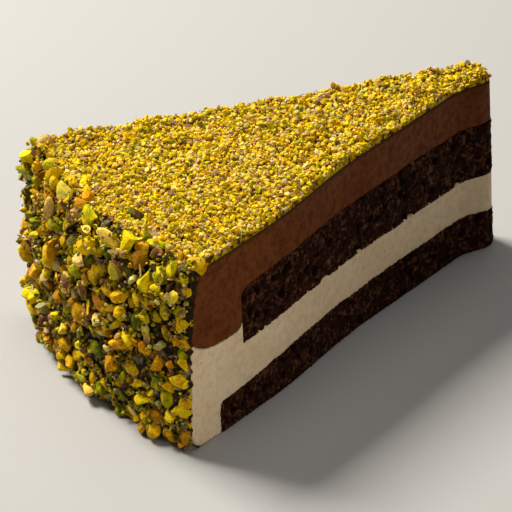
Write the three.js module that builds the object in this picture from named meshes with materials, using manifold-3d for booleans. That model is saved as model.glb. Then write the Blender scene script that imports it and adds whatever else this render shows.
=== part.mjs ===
// One slice of a round, layered mousse cake: two chocolate sponges, a cream mousse and a chocolate
// mousse, with fine pistachio crumb on the top and chopped pistachio round the outside.
//
// Millimetres, +Z up. The slice stands on z = 0 with its tip towards +Y and its round outer side
// towards -Y, and the origin is the middle of its footprint. Every layer is turned about the axis of
// the whole cake from its own profile (radius, height), and the two knife cuts then take the slice
// out of it.

import * as THREE from 'three';
import { ImprovedNoise } from 'three/addons/math/ImprovedNoise.js';
import { mergeVertices } from 'three/addons/utils/BufferGeometryUtils.js';
import Module from 'manifold-3d';

// ---- Driving dimensions -------------------------------------------------------------------------

const CAKE_RADIUS = 128.8; // to the outside of the chopped nuts
const CAKE_HEIGHT = 50.5; // to the top of the crumb
const SLICE_ANGLE = 35; // between the two cuts, in degrees
const APEX_PAST_AXIS = 9; // the two cuts meet this far behind the cake's axis
const AXIS_ACROSS = 6; // and the axis is this far to the right of the slice's middle line
const TIP_LOST = 11.5; // length of the thin point that broke off, from where the cuts meet
const TIP_ROUNDING = 1.6;
const CUT_HOLLOW = 3.3; // how far the knife strayed into the slice on its right cut
const HOLLOW_TIP_END = 24; // the hollow is at its deepest from here, measured from where the cuts meet,
const HOLLOW_DEEP_TO = 62; // to here,
const HOLLOW_OUTER_END = 102; // and has run out here

const CRUMB_THICKNESS = 2;
const NUT_THICKNESS_BASE = 1.6; // the nuts are pressed deep into the cream near the base
const COAT_DRAFT = 1; // how much narrower the outside of the nuts is at the top
const BODY_DRAFT = 5.4; // how much narrower the body is at its top
const BODY_FULLNESS = 2.6; // 1 is a cone, and more keeps the body wide up to its shoulder
const FOOT_ROUNDING = 4; // of the body's lower outer edge, and of the nuts round it
const NUT_LIP = 2.2; // how far the chopped nuts reach in over the top edge
const NUT_LIP_RISE = 0.6; // and how far they stand above the crumb

const BASE_SPONGE_RADIUS = 116.2;
const BASE_SPONGE_EDGE = 8.2; // thickness at its outer edge
const BASE_SPONGE_MIDDLE = 10.9;
const BASE_SPONGE_CORNER = 1.4; // rounding of its upper outer corner
const MIDDLE_SPONGE_RADIUS = 106.2;
const MIDDLE_SPONGE_BOTTOM_EDGE = 21.4;
const MIDDLE_SPONGE_BOTTOM = 22;
const MIDDLE_SPONGE_TOP_EDGE = 36.2;
const MIDDLE_SPONGE_TOP = 36.8;
const SPONGE_CORNER = 3.4; // rounding of the middle sponge's upper outer corner
const CREAM_SHOULDER = 25.2; // the cream's height outside the middle sponge
const CREAM_SHOULDER_RISE = 5.9; // how steeply it curls up to the body's wall
const CREAM_SPUR_HEIGHT = 2.4; // the thin point that was squeezed up beside the sponge
const CREAM_SPUR_WIDTH = 1.6;
const SPONGE_FLAT_RADIUS = 82; // inside this radius the sponges are even in thickness

const LAYER_GAP = 0.3; // clearance between neighbouring solids
const WAVE_HEIGHT = 0.55; // unevenness of the layers
const WAVE_LENGTH = 17;
const NUT_BUMP = 1.3; // unevenness of the chopped nuts
const NUT_SIZE = 4.6;
const CRUMB_BUMP = 0.3;
const CRUMB_LUMP_SIZE = 5.5;

// ---- Derived dimensions -------------------------------------------------------------------------

const HALF_ANGLE = THREE.MathUtils.degToRad(SLICE_ANGLE / 2);
const SLICE_LENGTH = CAKE_RADIUS + APEX_PAST_AXIS - TIP_LOST;
const APEX_X = -0.5; // centres the slice's footprint
const AXIS_X = APEX_X + AXIS_ACROSS;
const AXIS_Y = CAKE_RADIUS - SLICE_LENGTH / 2;
const APEX_Y = AXIS_Y + APEX_PAST_AXIS;
const TIP_Y = APEX_Y - TIP_LOST;
const BODY_HEIGHT = CAKE_HEIGHT - CRUMB_THICKNESS;
const BODY_BASE_RADIUS = CAKE_RADIUS - NUT_THICKNESS_BASE;
const BODY_TOP_RADIUS = BODY_BASE_RADIUS - BODY_DRAFT;
const HALF_GAP = LAYER_GAP / 2;

// The outer radius of the moulded body at a height, above its rounded foot.
const bodyRadius = (z) => BODY_BASE_RADIUS - BODY_DRAFT * Math.max(0, z / BODY_HEIGHT) ** BODY_FULLNESS;

// A height that runs from its value in the middle of a sponge to its value at the sponge's edge.
function alongSponge(r, middle, edge, spongeRadius) {
	const t = THREE.MathUtils.smoothstep(r, SPONGE_FLAT_RADIUS, spongeRadius);
	return THREE.MathUtils.lerp(middle, edge, t);
}

const baseSpongeTop = (r) => alongSponge(r, BASE_SPONGE_MIDDLE, BASE_SPONGE_EDGE, BASE_SPONGE_RADIUS);
const middleSpongeBottom = (r) =>
	alongSponge(r, MIDDLE_SPONGE_BOTTOM, MIDDLE_SPONGE_BOTTOM_EDGE, MIDDLE_SPONGE_RADIUS);
const middleSpongeTop = (r) =>
	alongSponge(r, MIDDLE_SPONGE_TOP, MIDDLE_SPONGE_TOP_EDGE, MIDDLE_SPONGE_RADIUS);

// The height of the cream outside the middle sponge, with its thin point beside the sponge.
function creamShoulder(r) {
	const beyond = r - MIDDLE_SPONGE_RADIUS;
	const t = beyond / (BODY_BASE_RADIUS - MIDDLE_SPONGE_RADIUS);
	const spur = Math.max(0, 1 - beyond / CREAM_SPUR_WIDTH);
	return CREAM_SHOULDER + CREAM_SHOULDER_RISE * t ** 4 + CREAM_SPUR_HEIGHT * spur * spur;
}

// The cream's height where it meets the body's wall.
const SHOULDER_WALL_Z = creamShoulder(bodyRadius(CREAM_SHOULDER + 0.75 * CREAM_SHOULDER_RISE));

// ---- Profiles -----------------------------------------------------------------------------------
// Each profile is a closed outline of Vector2(radius, height), counter-clockwise, from the axis.

// Points on z = height(r) from one radius to another, both included.
function run(from, to, height, steps) {
	return Array.from({ length: steps + 1 }, (_, i) => {
		const r = THREE.MathUtils.lerp(from, to, i / steps);
		return new THREE.Vector2(r, height(r));
	});
}

// Points on r = radius(z) from one height to another, both included.
function rise(from, to, radius, steps) {
	return run(from, to, radius, steps).map((p) => new THREE.Vector2(p.y, p.x));
}

// A rounded corner from one direction to another, in degrees, about a centre.
function corner(centreR, centreZ, radius, fromAngle, toAngle, steps) {
	return Array.from({ length: steps + 1 }, (_, i) => {
		const a = THREE.MathUtils.degToRad(THREE.MathUtils.lerp(fromAngle, toAngle, i / steps));
		return new THREE.Vector2(centreR + radius * Math.cos(a), centreZ + radius * Math.sin(a));
	});
}

const LONG_RUN = 11; // steps from the axis to a sponge's edge
const SHORT_RUN = 3; // steps across a narrow stretch
const WALL_STEPS = 4; // steps up the body's wall
const SHOULDER_STEPS = 6; // steps across the top of the cream's shoulder
const CORNER_STEPS = 4;
const FOOT_STEPS = 3;
const HOLLOW_STEPS = 14;
const NUT_STEP = NUT_SIZE / 1.8; // facets small enough to show the nuts' unevenness
const CRUMB_STEP = CRUMB_LUMP_SIZE / 1.5;

// The rounded foot of a wall, from the plane that the slice stands on up to the wall.
const foot = (wallRadius) =>
	corner(wallRadius - FOOT_ROUNDING, FOOT_ROUNDING, FOOT_ROUNDING, -90, 0, FOOT_STEPS);

// The top of the cream from the middle sponge to the body's wall, moved by half the gap.
function shoulderLine(wallRadius, offset) {
	const spurFoot = MIDDLE_SPONGE_RADIUS + CREAM_SPUR_WIDTH;
	const height = (r) => creamShoulder(r) + offset;
	return [
		...run(MIDDLE_SPONGE_RADIUS + HALF_GAP, spurFoot, height, SHORT_RUN),
		...run(spurFoot, wallRadius, height, SHOULDER_STEPS).slice(1),
	];
}

function baseSpongeProfile() {
	const edge = BASE_SPONGE_RADIUS - HALF_GAP;
	const cornerR = edge - BASE_SPONGE_CORNER;
	const cornerZ = baseSpongeTop(cornerR) - HALF_GAP - BASE_SPONGE_CORNER;
	return [
		...run(0, edge, () => 0, LONG_RUN),
		...corner(cornerR, cornerZ, BASE_SPONGE_CORNER, 0, 90, CORNER_STEPS),
		...run(cornerR, 0, (r) => baseSpongeTop(r) - HALF_GAP, LONG_RUN).slice(1),
	];
}

function middleSpongeProfile() {
	const edge = MIDDLE_SPONGE_RADIUS - HALF_GAP;
	const cornerR = edge - SPONGE_CORNER;
	const cornerZ = middleSpongeTop(cornerR) - HALF_GAP - SPONGE_CORNER;
	return [
		...run(0, edge, (r) => middleSpongeBottom(r) + HALF_GAP, LONG_RUN),
		...corner(cornerR, cornerZ, SPONGE_CORNER, 0, 90, CORNER_STEPS),
		...run(cornerR, 0, (r) => middleSpongeTop(r) - HALF_GAP, LONG_RUN).slice(1),
	];
}

function creamProfile() {
	const inner = BASE_SPONGE_RADIUS + HALF_GAP;
	const sponge = MIDDLE_SPONGE_RADIUS + HALF_GAP;
	const wall = (z) => bodyRadius(z) - HALF_GAP;
	const shoulderZ = SHOULDER_WALL_Z - HALF_GAP;
	const cornerR = BASE_SPONGE_RADIUS - HALF_GAP - BASE_SPONGE_CORNER;
	const cornerZ = baseSpongeTop(cornerR) - HALF_GAP - BASE_SPONGE_CORNER;
	return [
		...run(0, cornerR, (r) => baseSpongeTop(r) + HALF_GAP, LONG_RUN),
		...corner(cornerR, cornerZ, BASE_SPONGE_CORNER + LAYER_GAP, 90, 0, CORNER_STEPS).slice(1),
		new THREE.Vector2(inner, 0),
		...foot(wall(0)),
		...rise(FOOT_ROUNDING, shoulderZ, wall, WALL_STEPS).slice(1, -1),
		...shoulderLine(wall(shoulderZ), -HALF_GAP).reverse(),
		...run(sponge, 0, (r) => middleSpongeBottom(Math.min(r, MIDDLE_SPONGE_RADIUS)) - HALF_GAP, LONG_RUN),
	];
}

function chocolateMousseProfile() {
	const wall = (z) => bodyRadius(z) - HALF_GAP;
	const shoulderZ = SHOULDER_WALL_Z + HALF_GAP;
	const cornerR = MIDDLE_SPONGE_RADIUS - HALF_GAP - SPONGE_CORNER;
	const cornerZ = middleSpongeTop(cornerR) - HALF_GAP - SPONGE_CORNER;
	const insideCorner = SPONGE_CORNER + LAYER_GAP;
	return [
		...run(0, cornerR, (r) => middleSpongeTop(r) + HALF_GAP, LONG_RUN),
		...corner(cornerR, cornerZ, insideCorner, 90, 0, CORNER_STEPS).slice(1),
		...shoulderLine(wall(shoulderZ), HALF_GAP),
		...rise(shoulderZ, BODY_HEIGHT - HALF_GAP, wall, WALL_STEPS).slice(1),
		...run(wall(BODY_HEIGHT), 0, () => BODY_HEIGHT - HALF_GAP, LONG_RUN).slice(1),
	];
}

function crumbProfile() {
	const edge = BODY_TOP_RADIUS - NUT_LIP - HALF_GAP;
	const fineSteps = Math.round(edge / CRUMB_STEP);
	return [
		...run(0, edge, () => BODY_HEIGHT + HALF_GAP, LONG_RUN),
		...run(edge, 0, () => CAKE_HEIGHT, fineSteps),
	];
}

function nutCoatProfile() {
	const lipR = BODY_TOP_RADIUS - NUT_LIP + HALF_GAP;
	const lipZ = CAKE_HEIGHT + NUT_LIP_RISE;
	const cornerRadius = CRUMB_THICKNESS;
	const wallTop = lipZ - cornerRadius;
	const outer = (z) => CAKE_RADIUS - COAT_DRAFT * (z / wallTop) ** 2;
	const cornerR = outer(wallTop) - cornerRadius;
	const fineSteps = Math.round(wallTop / NUT_STEP);
	return [
		...foot(CAKE_RADIUS),
		...rise(FOOT_ROUNDING, wallTop, outer, fineSteps).slice(1),
		...corner(cornerR, wallTop, cornerRadius, 0, 90, SHORT_RUN).slice(1),
		...run(cornerR, lipR, () => lipZ, SHORT_RUN).slice(1),
		...run(lipR, BODY_TOP_RADIUS + HALF_GAP, () => BODY_HEIGHT + HALF_GAP, 1),
		...rise(BODY_HEIGHT, FOOT_ROUNDING, (z) => bodyRadius(z) + HALF_GAP, 2 * WALL_STEPS).slice(1),
		...foot(BODY_BASE_RADIUS + HALF_GAP).reverse().slice(1),
	];
}

// ---- Unevenness ---------------------------------------------------------------------------------

const noise = new ImprovedNoise();
const noiseAt = (p, scale, seed) => noise.noise(p.x / scale + seed, p.y / scale + seed, p.z / scale);

// Moves a point of any layer as the soft layers have settled, so that neighbours stay neighbours.
// The base and the top stay level.
function settle(point) {
	const radial = new THREE.Vector2(point.x, point.y);
	const fromBase = THREE.MathUtils.smoothstep(point.z, 0, BASE_SPONGE_EDGE);
	const fromTop = 1 - THREE.MathUtils.smoothstep(point.z, MIDDLE_SPONGE_TOP, BODY_HEIGHT);
	point.z += WAVE_HEIGHT * 1.6 * noiseAt(point, WAVE_LENGTH, 3.7) * fromBase * fromTop;
	radial.setLength(Math.max(0, radial.length() + WAVE_HEIGHT * noiseAt(point, WAVE_LENGTH, 9.1) * fromBase));
	point.x = radial.x;
	point.y = radial.y;
	return point;
}

// Chopped nuts stand out from the outer wall and over the top edge by different amounts.
function roughenNuts(point) {
	const r = Math.hypot(point.x, point.y);
	const outside = r - bodyRadius(Math.min(point.z, BODY_HEIGHT));
	const above = point.z - BODY_HEIGHT;
	const lift = NUT_BUMP * noiseAt(point, NUT_SIZE, 5.3);
	if (outside > 1 && point.z > 0) {
		point.x *= 1 + lift / r;
		point.y *= 1 + lift / r;
	}
	if (above > 1) {
		point.z += 0.7 * lift;
	}
	return point;
}

function roughenCrumb(point) {
	if (point.z > CAKE_HEIGHT - HALF_GAP) {
		point.z += CRUMB_BUMP * noiseAt(point, CRUMB_LUMP_SIZE, 1.9);
	}
	return point;
}

// ---- Solids -------------------------------------------------------------------------------------

const wasm = await Module();
wasm.setup();

// A closed geometry as a manifold-3d solid.
function solidOf(geometry) {
	const bare = geometry.clone();
	bare.deleteAttribute('normal');
	bare.deleteAttribute('uv');
	const merged = mergeVertices(bare, 1e-4);
	return new wasm.Manifold(
		new wasm.Mesh({
			numProp: 3,
			vertProperties: new Float32Array(merged.attributes.position.array),
			triVerts: new Uint32Array(merged.index.array),
		})
	);
}

// A manifold-3d solid as a geometry with flat normals.
function geometryOf(solid) {
	const mesh = solid.getMesh();
	const positions = new Float32Array(mesh.numVert * 3);
	for (let i = 0; i < mesh.numVert; i++) {
		positions.set(mesh.vertProperties.subarray(i * mesh.numProp, i * mesh.numProp + 3), i * 3);
	}
	const indexed = new THREE.BufferGeometry();
	indexed.setAttribute('position', new THREE.BufferAttribute(positions, 3));
	indexed.setIndex(new THREE.BufferAttribute(mesh.triVerts, 1));
	const flat = indexed.toNonIndexed();
	flat.computeVertexNormals();
	return flat;
}

// How far the right cut lies inside its straight line, at a distance from where the cuts meet.
function cutHollow(along) {
	const fromTip = THREE.MathUtils.smoothstep(along, TIP_LOST + TIP_ROUNDING, HOLLOW_TIP_END);
	const toOuter = 1 - THREE.MathUtils.smoothstep(along, HOLLOW_DEEP_TO, HOLLOW_OUTER_END);
	return CUT_HOLLOW * fromTip * toOuter;
}

// The space between the two knife cuts, with the blunt tip, as a tall prism.
function slicePrism() {
	const beyond = CAKE_RADIUS + APEX_PAST_AXIS + 20; // far enough to clear the outer wall
	const outerX = beyond * Math.tan(HALF_ANGLE);
	const tipX = TIP_LOST * Math.tan(HALF_ANGLE);
	const inset = TIP_ROUNDING * Math.sin(HALF_ANGLE);
	const drop = TIP_ROUNDING * Math.cos(HALF_ANGLE);
	const outline = new THREE.Shape();
	outline.moveTo(-outerX, APEX_Y - beyond);
	outline.lineTo(outerX, APEX_Y - beyond);
	for (let i = HOLLOW_STEPS; i > 0; i--) {
		const along = THREE.MathUtils.lerp(TIP_LOST + TIP_ROUNDING, HOLLOW_OUTER_END, (i / HOLLOW_STEPS) ** 1.5);
		outline.lineTo(along * Math.tan(HALF_ANGLE) - cutHollow(along), APEX_Y - along);
	}
	outline.lineTo(tipX + inset, TIP_Y - drop);
	outline.quadraticCurveTo(tipX, TIP_Y, tipX - TIP_ROUNDING, TIP_Y);
	outline.lineTo(-tipX + TIP_ROUNDING, TIP_Y);
	outline.quadraticCurveTo(-tipX, TIP_Y, -tipX - inset, TIP_Y - drop);
	outline.closePath();
	const margin = 10; // above and below the cake
	return new THREE.ExtrudeGeometry(outline, {
		depth: CAKE_HEIGHT + 2 * margin,
		bevelEnabled: false,
		curveSegments: 4,
	}).translate(APEX_X, 0, -margin);
}

const prism = solidOf(slicePrism());

// Turns a profile about the cake's axis, makes it uneven, and cuts the slice out of it.
function slicedLayer(profile, segments, uneven) {
	const outline = [...profile, profile[0].clone()];
	const ring = new THREE.LatheGeometry(outline, segments).rotateX(Math.PI / 2);
	const positions = ring.attributes.position;
	const point = new THREE.Vector3();
	for (let i = 0; i < positions.count; i++) {
		uneven(point.fromBufferAttribute(positions, i));
		positions.setXYZ(i, point.x, point.y, point.z);
	}
	ring.translate(AXIS_X, AXIS_Y, 0);
	return geometryOf(solidOf(ring).intersect(prism));
}

function layerMesh(name, profile, segments, uneven, color, roughness) {
	const material = new THREE.MeshStandardMaterial({ color, roughness, metalness: 0 });
	const mesh = new THREE.Mesh(slicedLayer(profile, segments, uneven), material);
	mesh.name = name;
	return mesh;
}

// ---- The slice ----------------------------------------------------------------------------------

const LAYER_SEGMENTS = 120; // round the whole cake
const CRUMB_SEGMENTS = 144;
const NUT_SEGMENTS = Math.round((2 * Math.PI * CAKE_RADIUS) / NUT_STEP);

const slice = new THREE.Group();
slice.name = 'pistachio_cake_slice';
slice.add(
	layerMesh('base_sponge', baseSpongeProfile(), LAYER_SEGMENTS, settle, 0x3a1f15, 0.95),
	layerMesh('cream_mousse', creamProfile(), LAYER_SEGMENTS, settle, 0xdccbaa, 0.55),
	layerMesh('middle_sponge', middleSpongeProfile(), LAYER_SEGMENTS, settle, 0x2f1910, 0.95),
	layerMesh('chocolate_mousse', chocolateMousseProfile(), LAYER_SEGMENTS, settle, 0x6a3d24, 0.5),
	layerMesh('pistachio_crumb', crumbProfile(), CRUMB_SEGMENTS, roughenCrumb, 0xc8a336, 0.85),
	layerMesh('pistachio_coat', nutCoatProfile(), NUT_SEGMENTS, (p) => roughenNuts(settle(p)), 0x9a8a2a, 0.7)
);

export default slice;
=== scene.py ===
"""A slice of a round pistachio mousse cake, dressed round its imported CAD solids.

From the bottom the slice is chocolate sponge, cream mousse, chocolate sponge and chocolate mousse.
Finely ground pistachio lies on the top and chopped pistachio is pressed into the round outer side.
Lengths are metres, with MM for the small ones. +Z is up and the tip points to +Y.
"""
import logging
import math
from collections.abc import Callable, Iterator, Sequence
from dataclasses import dataclass, field
from enum import Enum

import bpy
import numpy as np
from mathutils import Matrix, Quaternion, Vector, noise


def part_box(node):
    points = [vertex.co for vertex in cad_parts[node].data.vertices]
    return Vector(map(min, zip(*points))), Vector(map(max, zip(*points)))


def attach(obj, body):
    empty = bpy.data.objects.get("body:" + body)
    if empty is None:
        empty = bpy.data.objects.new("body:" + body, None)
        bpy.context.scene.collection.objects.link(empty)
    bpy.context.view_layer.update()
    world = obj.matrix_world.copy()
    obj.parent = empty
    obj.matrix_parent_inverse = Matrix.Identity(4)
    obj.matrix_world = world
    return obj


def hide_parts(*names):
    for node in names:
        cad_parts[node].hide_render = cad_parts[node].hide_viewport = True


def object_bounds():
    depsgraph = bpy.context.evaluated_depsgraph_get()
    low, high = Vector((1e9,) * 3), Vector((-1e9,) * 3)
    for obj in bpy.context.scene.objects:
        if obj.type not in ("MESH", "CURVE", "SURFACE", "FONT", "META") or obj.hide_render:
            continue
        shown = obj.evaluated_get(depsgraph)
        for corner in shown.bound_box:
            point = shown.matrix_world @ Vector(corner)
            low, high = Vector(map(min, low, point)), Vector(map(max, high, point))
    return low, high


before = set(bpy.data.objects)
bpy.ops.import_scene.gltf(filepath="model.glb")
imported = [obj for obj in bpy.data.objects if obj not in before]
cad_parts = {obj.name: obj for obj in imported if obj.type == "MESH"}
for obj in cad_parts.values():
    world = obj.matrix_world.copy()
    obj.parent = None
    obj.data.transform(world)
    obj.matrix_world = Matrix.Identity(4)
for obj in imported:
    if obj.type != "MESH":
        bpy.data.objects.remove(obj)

MM = 0.001
CAD_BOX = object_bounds()
CRUMB_SLOT = "pistachio_crumb"
COAT_SLOT = "chopped_pistachio"
UP = Vector((0, 0, 1))
LOG = logging.getLogger("cake slice")

Triple = tuple[float, float, float]
Color = Triple
Span = tuple[float, float]
Outline = list[Span]
Piece = bpy.types.Object
Material = bpy.types.Material
Socket = bpy.types.NodeSocket
Value = float | Sequence[float] | Socket


# ---- Tools for modelling ----


class Bench:
    """The modelling steps that every piece goes through, done with Blender's own operators."""

    @staticmethod
    def clear() -> None:
        """Deselects everything, because the CAD nodes come in selected."""
        bpy.ops.object.select_all(action="DESELECT")

    @staticmethod
    def begin(name: str) -> Piece:
        """Names the primitive that was just added and opens it for editing.

        Args:
            name: The name of the piece.

        Returns:
            The piece, in edit mode with all of it selected.
        """
        piece = bpy.context.object
        piece.name = piece.data.name = name
        bpy.ops.object.mode_set(mode="EDIT")
        bpy.ops.mesh.select_all(action="SELECT")
        return piece

    @staticmethod
    def end() -> None:
        """Turns all faces outward and leaves edit mode."""
        bpy.ops.mesh.select_all(action="SELECT")
        bpy.ops.mesh.normals_make_consistent(inside=False)
        bpy.ops.object.mode_set(mode="OBJECT")

    @staticmethod
    def cut(point: Vector, normal: Vector) -> None:
        """Cuts away what lies beyond a plane, on the side of its normal, and closes the cut."""
        bpy.ops.mesh.select_all(action="SELECT")
        bpy.ops.mesh.bisect(plane_co=point, plane_no=normal, use_fill=True, clear_outer=True)

    @staticmethod
    def apply(piece: Piece, kind: str, **settings: object) -> None:
        """Adds a modifier and applies it.

        Args:
            piece: The piece to change.
            kind: The modifier's type.
            settings: Its properties.
        """
        modifier = piece.modifiers.new(kind.lower(), kind)
        for name, value in settings.items():
            setattr(modifier, name, value)
        with bpy.context.temp_override(object=piece, active_object=piece):
            bpy.ops.object.modifier_apply(modifier=modifier.name)

    @staticmethod
    def turn(name: str, outline: Outline, axis: Span, steps: int) -> None:
        """Turns an outline all the way round the cake's axis and leaves it in edit mode.

        Args:
            name: The name of the piece.
            outline: (radius, height) points, from the axis to the axis or round a ring.
            axis: Where the axis stands.
            steps: The number of steps round.
        """
        Bench.clear()
        start = Vector((axis[0], axis[1] - outline[0][0], outline[0][1]))
        bpy.ops.mesh.primitive_plane_add(size=MM, location=start)
        bpy.ops.object.transform_apply(location=True)
        Bench.begin(name)
        bpy.ops.mesh.merge(type="CENTER")
        for (r0, z0), (r1, z1) in zip(outline, outline[1:]):
            bpy.ops.mesh.extrude_region_move(TRANSFORM_OT_translate={"value": (0, r0 - r1, z1 - z0)})
        bpy.ops.mesh.select_all(action="SELECT")
        bpy.ops.mesh.spin(steps=steps, angle=math.tau, center=(*axis, 0), axis=UP)
        bpy.ops.mesh.select_all(action="SELECT")
        bpy.ops.mesh.remove_doubles(threshold=0.01 * MM)
        bpy.ops.mesh.normals_make_consistent(inside=False)

    @staticmethod
    def dress(piece: Piece, material: Material, slot: str, *nodes: str) -> None:
        """Gives a finished piece its material and its place in the part, and reports it.

        Args:
            piece: The finished piece.
            material: Its finish.
            slot: The record's material slot. Not used.
            nodes: The CAD nodes that it stands for.
        """
        piece.data.materials.clear()
        piece.data.materials.append(material)
        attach(piece, "root")
        if nodes:
            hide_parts(*nodes)
        LOG.info("%s: %d faces, %s", piece.name, len(piece.data.polygons), material.name)


@dataclass(frozen=True)
class Pits:
    """Round pits in a share of the cells of a pattern. The radius is a share of the cell size."""

    size: float
    share: float
    radius: float
    depth: float


@dataclass(frozen=True)
class Lumps:
    """Rounded lumps, with the size and amount of their warp and their heights on top and in the gaps."""

    size: float
    warp: Span
    top: float
    gap: float


@dataclass(frozen=True)
class Graph:
    """A shader or geometry node tree that is built by plain calls."""

    tree: bpy.types.NodeTree

    def feed(self, socket: Socket, value: Value) -> None:
        """Links a socket to another or gives it a value.

        Args:
            socket: The input.
            value: Another node's output, or a number, vector or colour.
        """
        if isinstance(value, Socket):
            self.tree.links.new(value, socket)
        elif socket.type == "RGBA":
            socket.default_value = (*value, 1.0)
        else:
            socket.default_value = value

    def node(self, kind: str, inputs: dict[str | int, Value] | None = None,
             **settings: object) -> bpy.types.Node:
        """Adds a node.

        Args:
            kind: The node's type.
            inputs: What each named or numbered input is fed.
            settings: The node's other properties.

        Returns:
            The new node.
        """
        made = self.tree.nodes.new(kind)
        for name, value in settings.items():
            setattr(made, name, value)
        for name, value in (inputs or {}).items():
            self.feed(made.inputs[name], value)
        return made

    def math(self, operation: str, a: Value, b: Value) -> Socket:
        """Any operation on two numbers."""
        return self.node("ShaderNodeMath", {0: a, 1: b}, operation=operation).outputs[0]

    def add(self, a: Value, b: Value) -> Socket:
        """The sum of two numbers."""
        return self.math("ADD", a, b)

    def less(self, a: Value, b: Value) -> Socket:
        """A number less another."""
        return self.math("SUBTRACT", a, b)

    def times(self, a: Value, b: Value) -> Socket:
        """The product of two numbers."""
        return self.math("MULTIPLY", a, b)

    def vector(self, operation: str, a: Value, b: Value) -> Socket:
        """Any operation on two vectors."""
        return self.node("ShaderNodeVectorMath", {0: a, 1: b}, operation=operation).outputs[0]

    def scaled(self, vector: Value, by: Value) -> Socket:
        """A vector made longer or shorter."""
        inputs = {"Vector": vector, "Scale": by}
        return self.node("ShaderNodeVectorMath", inputs, operation="SCALE").outputs[0]

    def split(self, vector: Value) -> Sequence[Socket]:
        """The three parts of a vector or colour."""
        return self.node("ShaderNodeSeparateXYZ", {0: vector}).outputs

    def grey(self, value: Value) -> Socket:
        """A colour or vector whose three parts are one number."""
        return self.node("ShaderNodeCombineXYZ", {part: value for part in "XYZ"}).outputs[0]

    def noise(self, place: Value, size: float, detail: float = 2.0, roughness: float = 0.5) -> Socket:
        """Soft noise round 0.5 with lumps of a given size."""
        inputs = {"Vector": place, "Scale": 1 / size, "Detail": detail, "Roughness": roughness}
        return self.node("ShaderNodeTexNoise", inputs).outputs[0]

    def swell(self, place: Value, size: float, height: float, *texture: float) -> Socket:
        """Soft noise round 0 with lumps of a given size and height, and noise's other arguments."""
        return self.times(self.less(self.noise(place, size, *texture), 0.5), height)

    def cells(self, place: Value, size: float) -> bpy.types.Node:
        """A pattern of irregular cells of a given size."""
        return self.node("ShaderNodeTexVoronoi", {"Vector": place, "Scale": 1 / size})

    def span(self, value: Value, low: float, high: float,
             to_low: float = 0.0, to_high: float = 1.0) -> Socket:
        """Maps a stretch of values smoothly to another, and holds it at both ends."""
        inputs = {"Value": value, "From Min": low, "From Max": high, "To Min": to_low, "To Max": to_high}
        return self.node("ShaderNodeMapRange", inputs, interpolation_type="SMOOTHSTEP").outputs[0]

    def blend(self, share: Value, a: Value, b: Value, mode: str = "MIX") -> Socket:
        """Mixes two colours."""
        inputs = {0: share, 6: a, 7: b}
        return self.node("ShaderNodeMix", inputs, data_type="RGBA", blend_type=mode).outputs[2]

    def ramp(self, value: Value, stops: Sequence[tuple[float, Color]]) -> Socket:
        """Picks a colour along a row of colours.

        Args:
            value: The place along the row.
            stops: Each colour and its place.

        Returns:
            The colour.
        """
        made = self.node("ShaderNodeValToRGB", {0: value})
        elements = made.color_ramp.elements
        while len(elements) < len(stops):
            elements.new(0.5)
        for element, (position, color) in zip(elements, stops):
            element.position, element.color = position, (*color, 1.0)
        return made.outputs[0]

    def warped(self, place: Value, size: float, amount: float) -> Socket:
        """Pushes coordinates about by noise, which makes round cells irregular.

        Args:
            place: The coordinates.
            size: The size of the noise's lumps.
            amount: The range of the push, from the furthest one way to the furthest the other.

        Returns:
            The new coordinates.
        """
        inputs = {"Vector": place, "Scale": 1 / size, "Detail": 1.0}
        push = self.node("ShaderNodeTexNoise", inputs).outputs["Color"]
        centred = self.vector("SUBTRACT", push, (0.5, 0.5, 0.5))
        return self.vector("ADD", place, self.scaled(centred, amount))

    def lumps(self, place: Value, lumps: Lumps) -> Socket:
        """The heights of rounded lumps."""
        cells = self.cells(self.warped(place, *lumps.warp), lumps.size)
        return self.span(cells.outputs["Distance"], 0.0, 0.8, lumps.top, lumps.gap)

    def pits(self, place: Value, pits: Pits) -> Socket:
        """The heights of round pits, 0 round them.

        Args:
            place: The coordinates.
            pits: Their sizes.

        Returns:
            The heights.
        """
        cells = self.cells(place, pits.size)
        present = self.math("LESS_THAN", self.split(cells.outputs["Color"])[0], pits.share)
        deep = self.span(cells.outputs["Distance"], 0.0, pits.radius, 1.0, 0.0)
        return self.times(self.times(deep, present), -pits.depth)


@dataclass(frozen=True)
class Skin:
    """The surface of a piece as fields of a geometry node tree: each point's place and normal."""

    graph: Graph
    place: Socket
    normal: Socket

    def outward(self, distance: Value, facing: Span = (-0.9, -0.5)) -> Socket:
        """A move along the normal, which fades in as the normal's Z rises through a range."""
        upright = self.graph.span(self.graph.split(self.normal)[2], *facing)
        return self.graph.scaled(self.normal, self.graph.times(distance, upright))


def reshape(piece: Piece, offset: Callable[[Skin], Socket]) -> None:
    """Moves the points of a piece by a field, with an applied modifier.

    Args:
        piece: The piece to reshape.
        offset: Builds the vector that each point moves by.
    """
    tree = bpy.data.node_groups.new(f"{piece.name}_relief", "GeometryNodeTree")
    for way in ("INPUT", "OUTPUT"):
        tree.interface.new_socket("Geometry", in_out=way, socket_type="NodeSocketGeometry")
    graph = Graph(tree)
    source = graph.node("NodeGroupInput").outputs[0]
    place = graph.node("GeometryNodeInputPosition").outputs[0]
    skin = Skin(graph, place, graph.node("GeometryNodeInputNormal").outputs[0])
    moved = graph.node("GeometryNodeSetPosition", {"Geometry": source, "Offset": offset(skin)})
    graph.node("NodeGroupOutput", {0: moved.outputs[0]})
    Bench.apply(piece, "NODES", node_group=tree)


def read_points(piece: Piece, what: str = "co") -> np.ndarray:
    """Reads the places or normals of a piece's points.

    Args:
        piece: The piece.
        what: Its property to read.

    Returns:
        One row for each point.
    """
    values = np.empty(3 * len(piece.data.vertices), np.float32)
    piece.data.vertices.foreach_get(what, values)
    return values.reshape(-1, 3)


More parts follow.
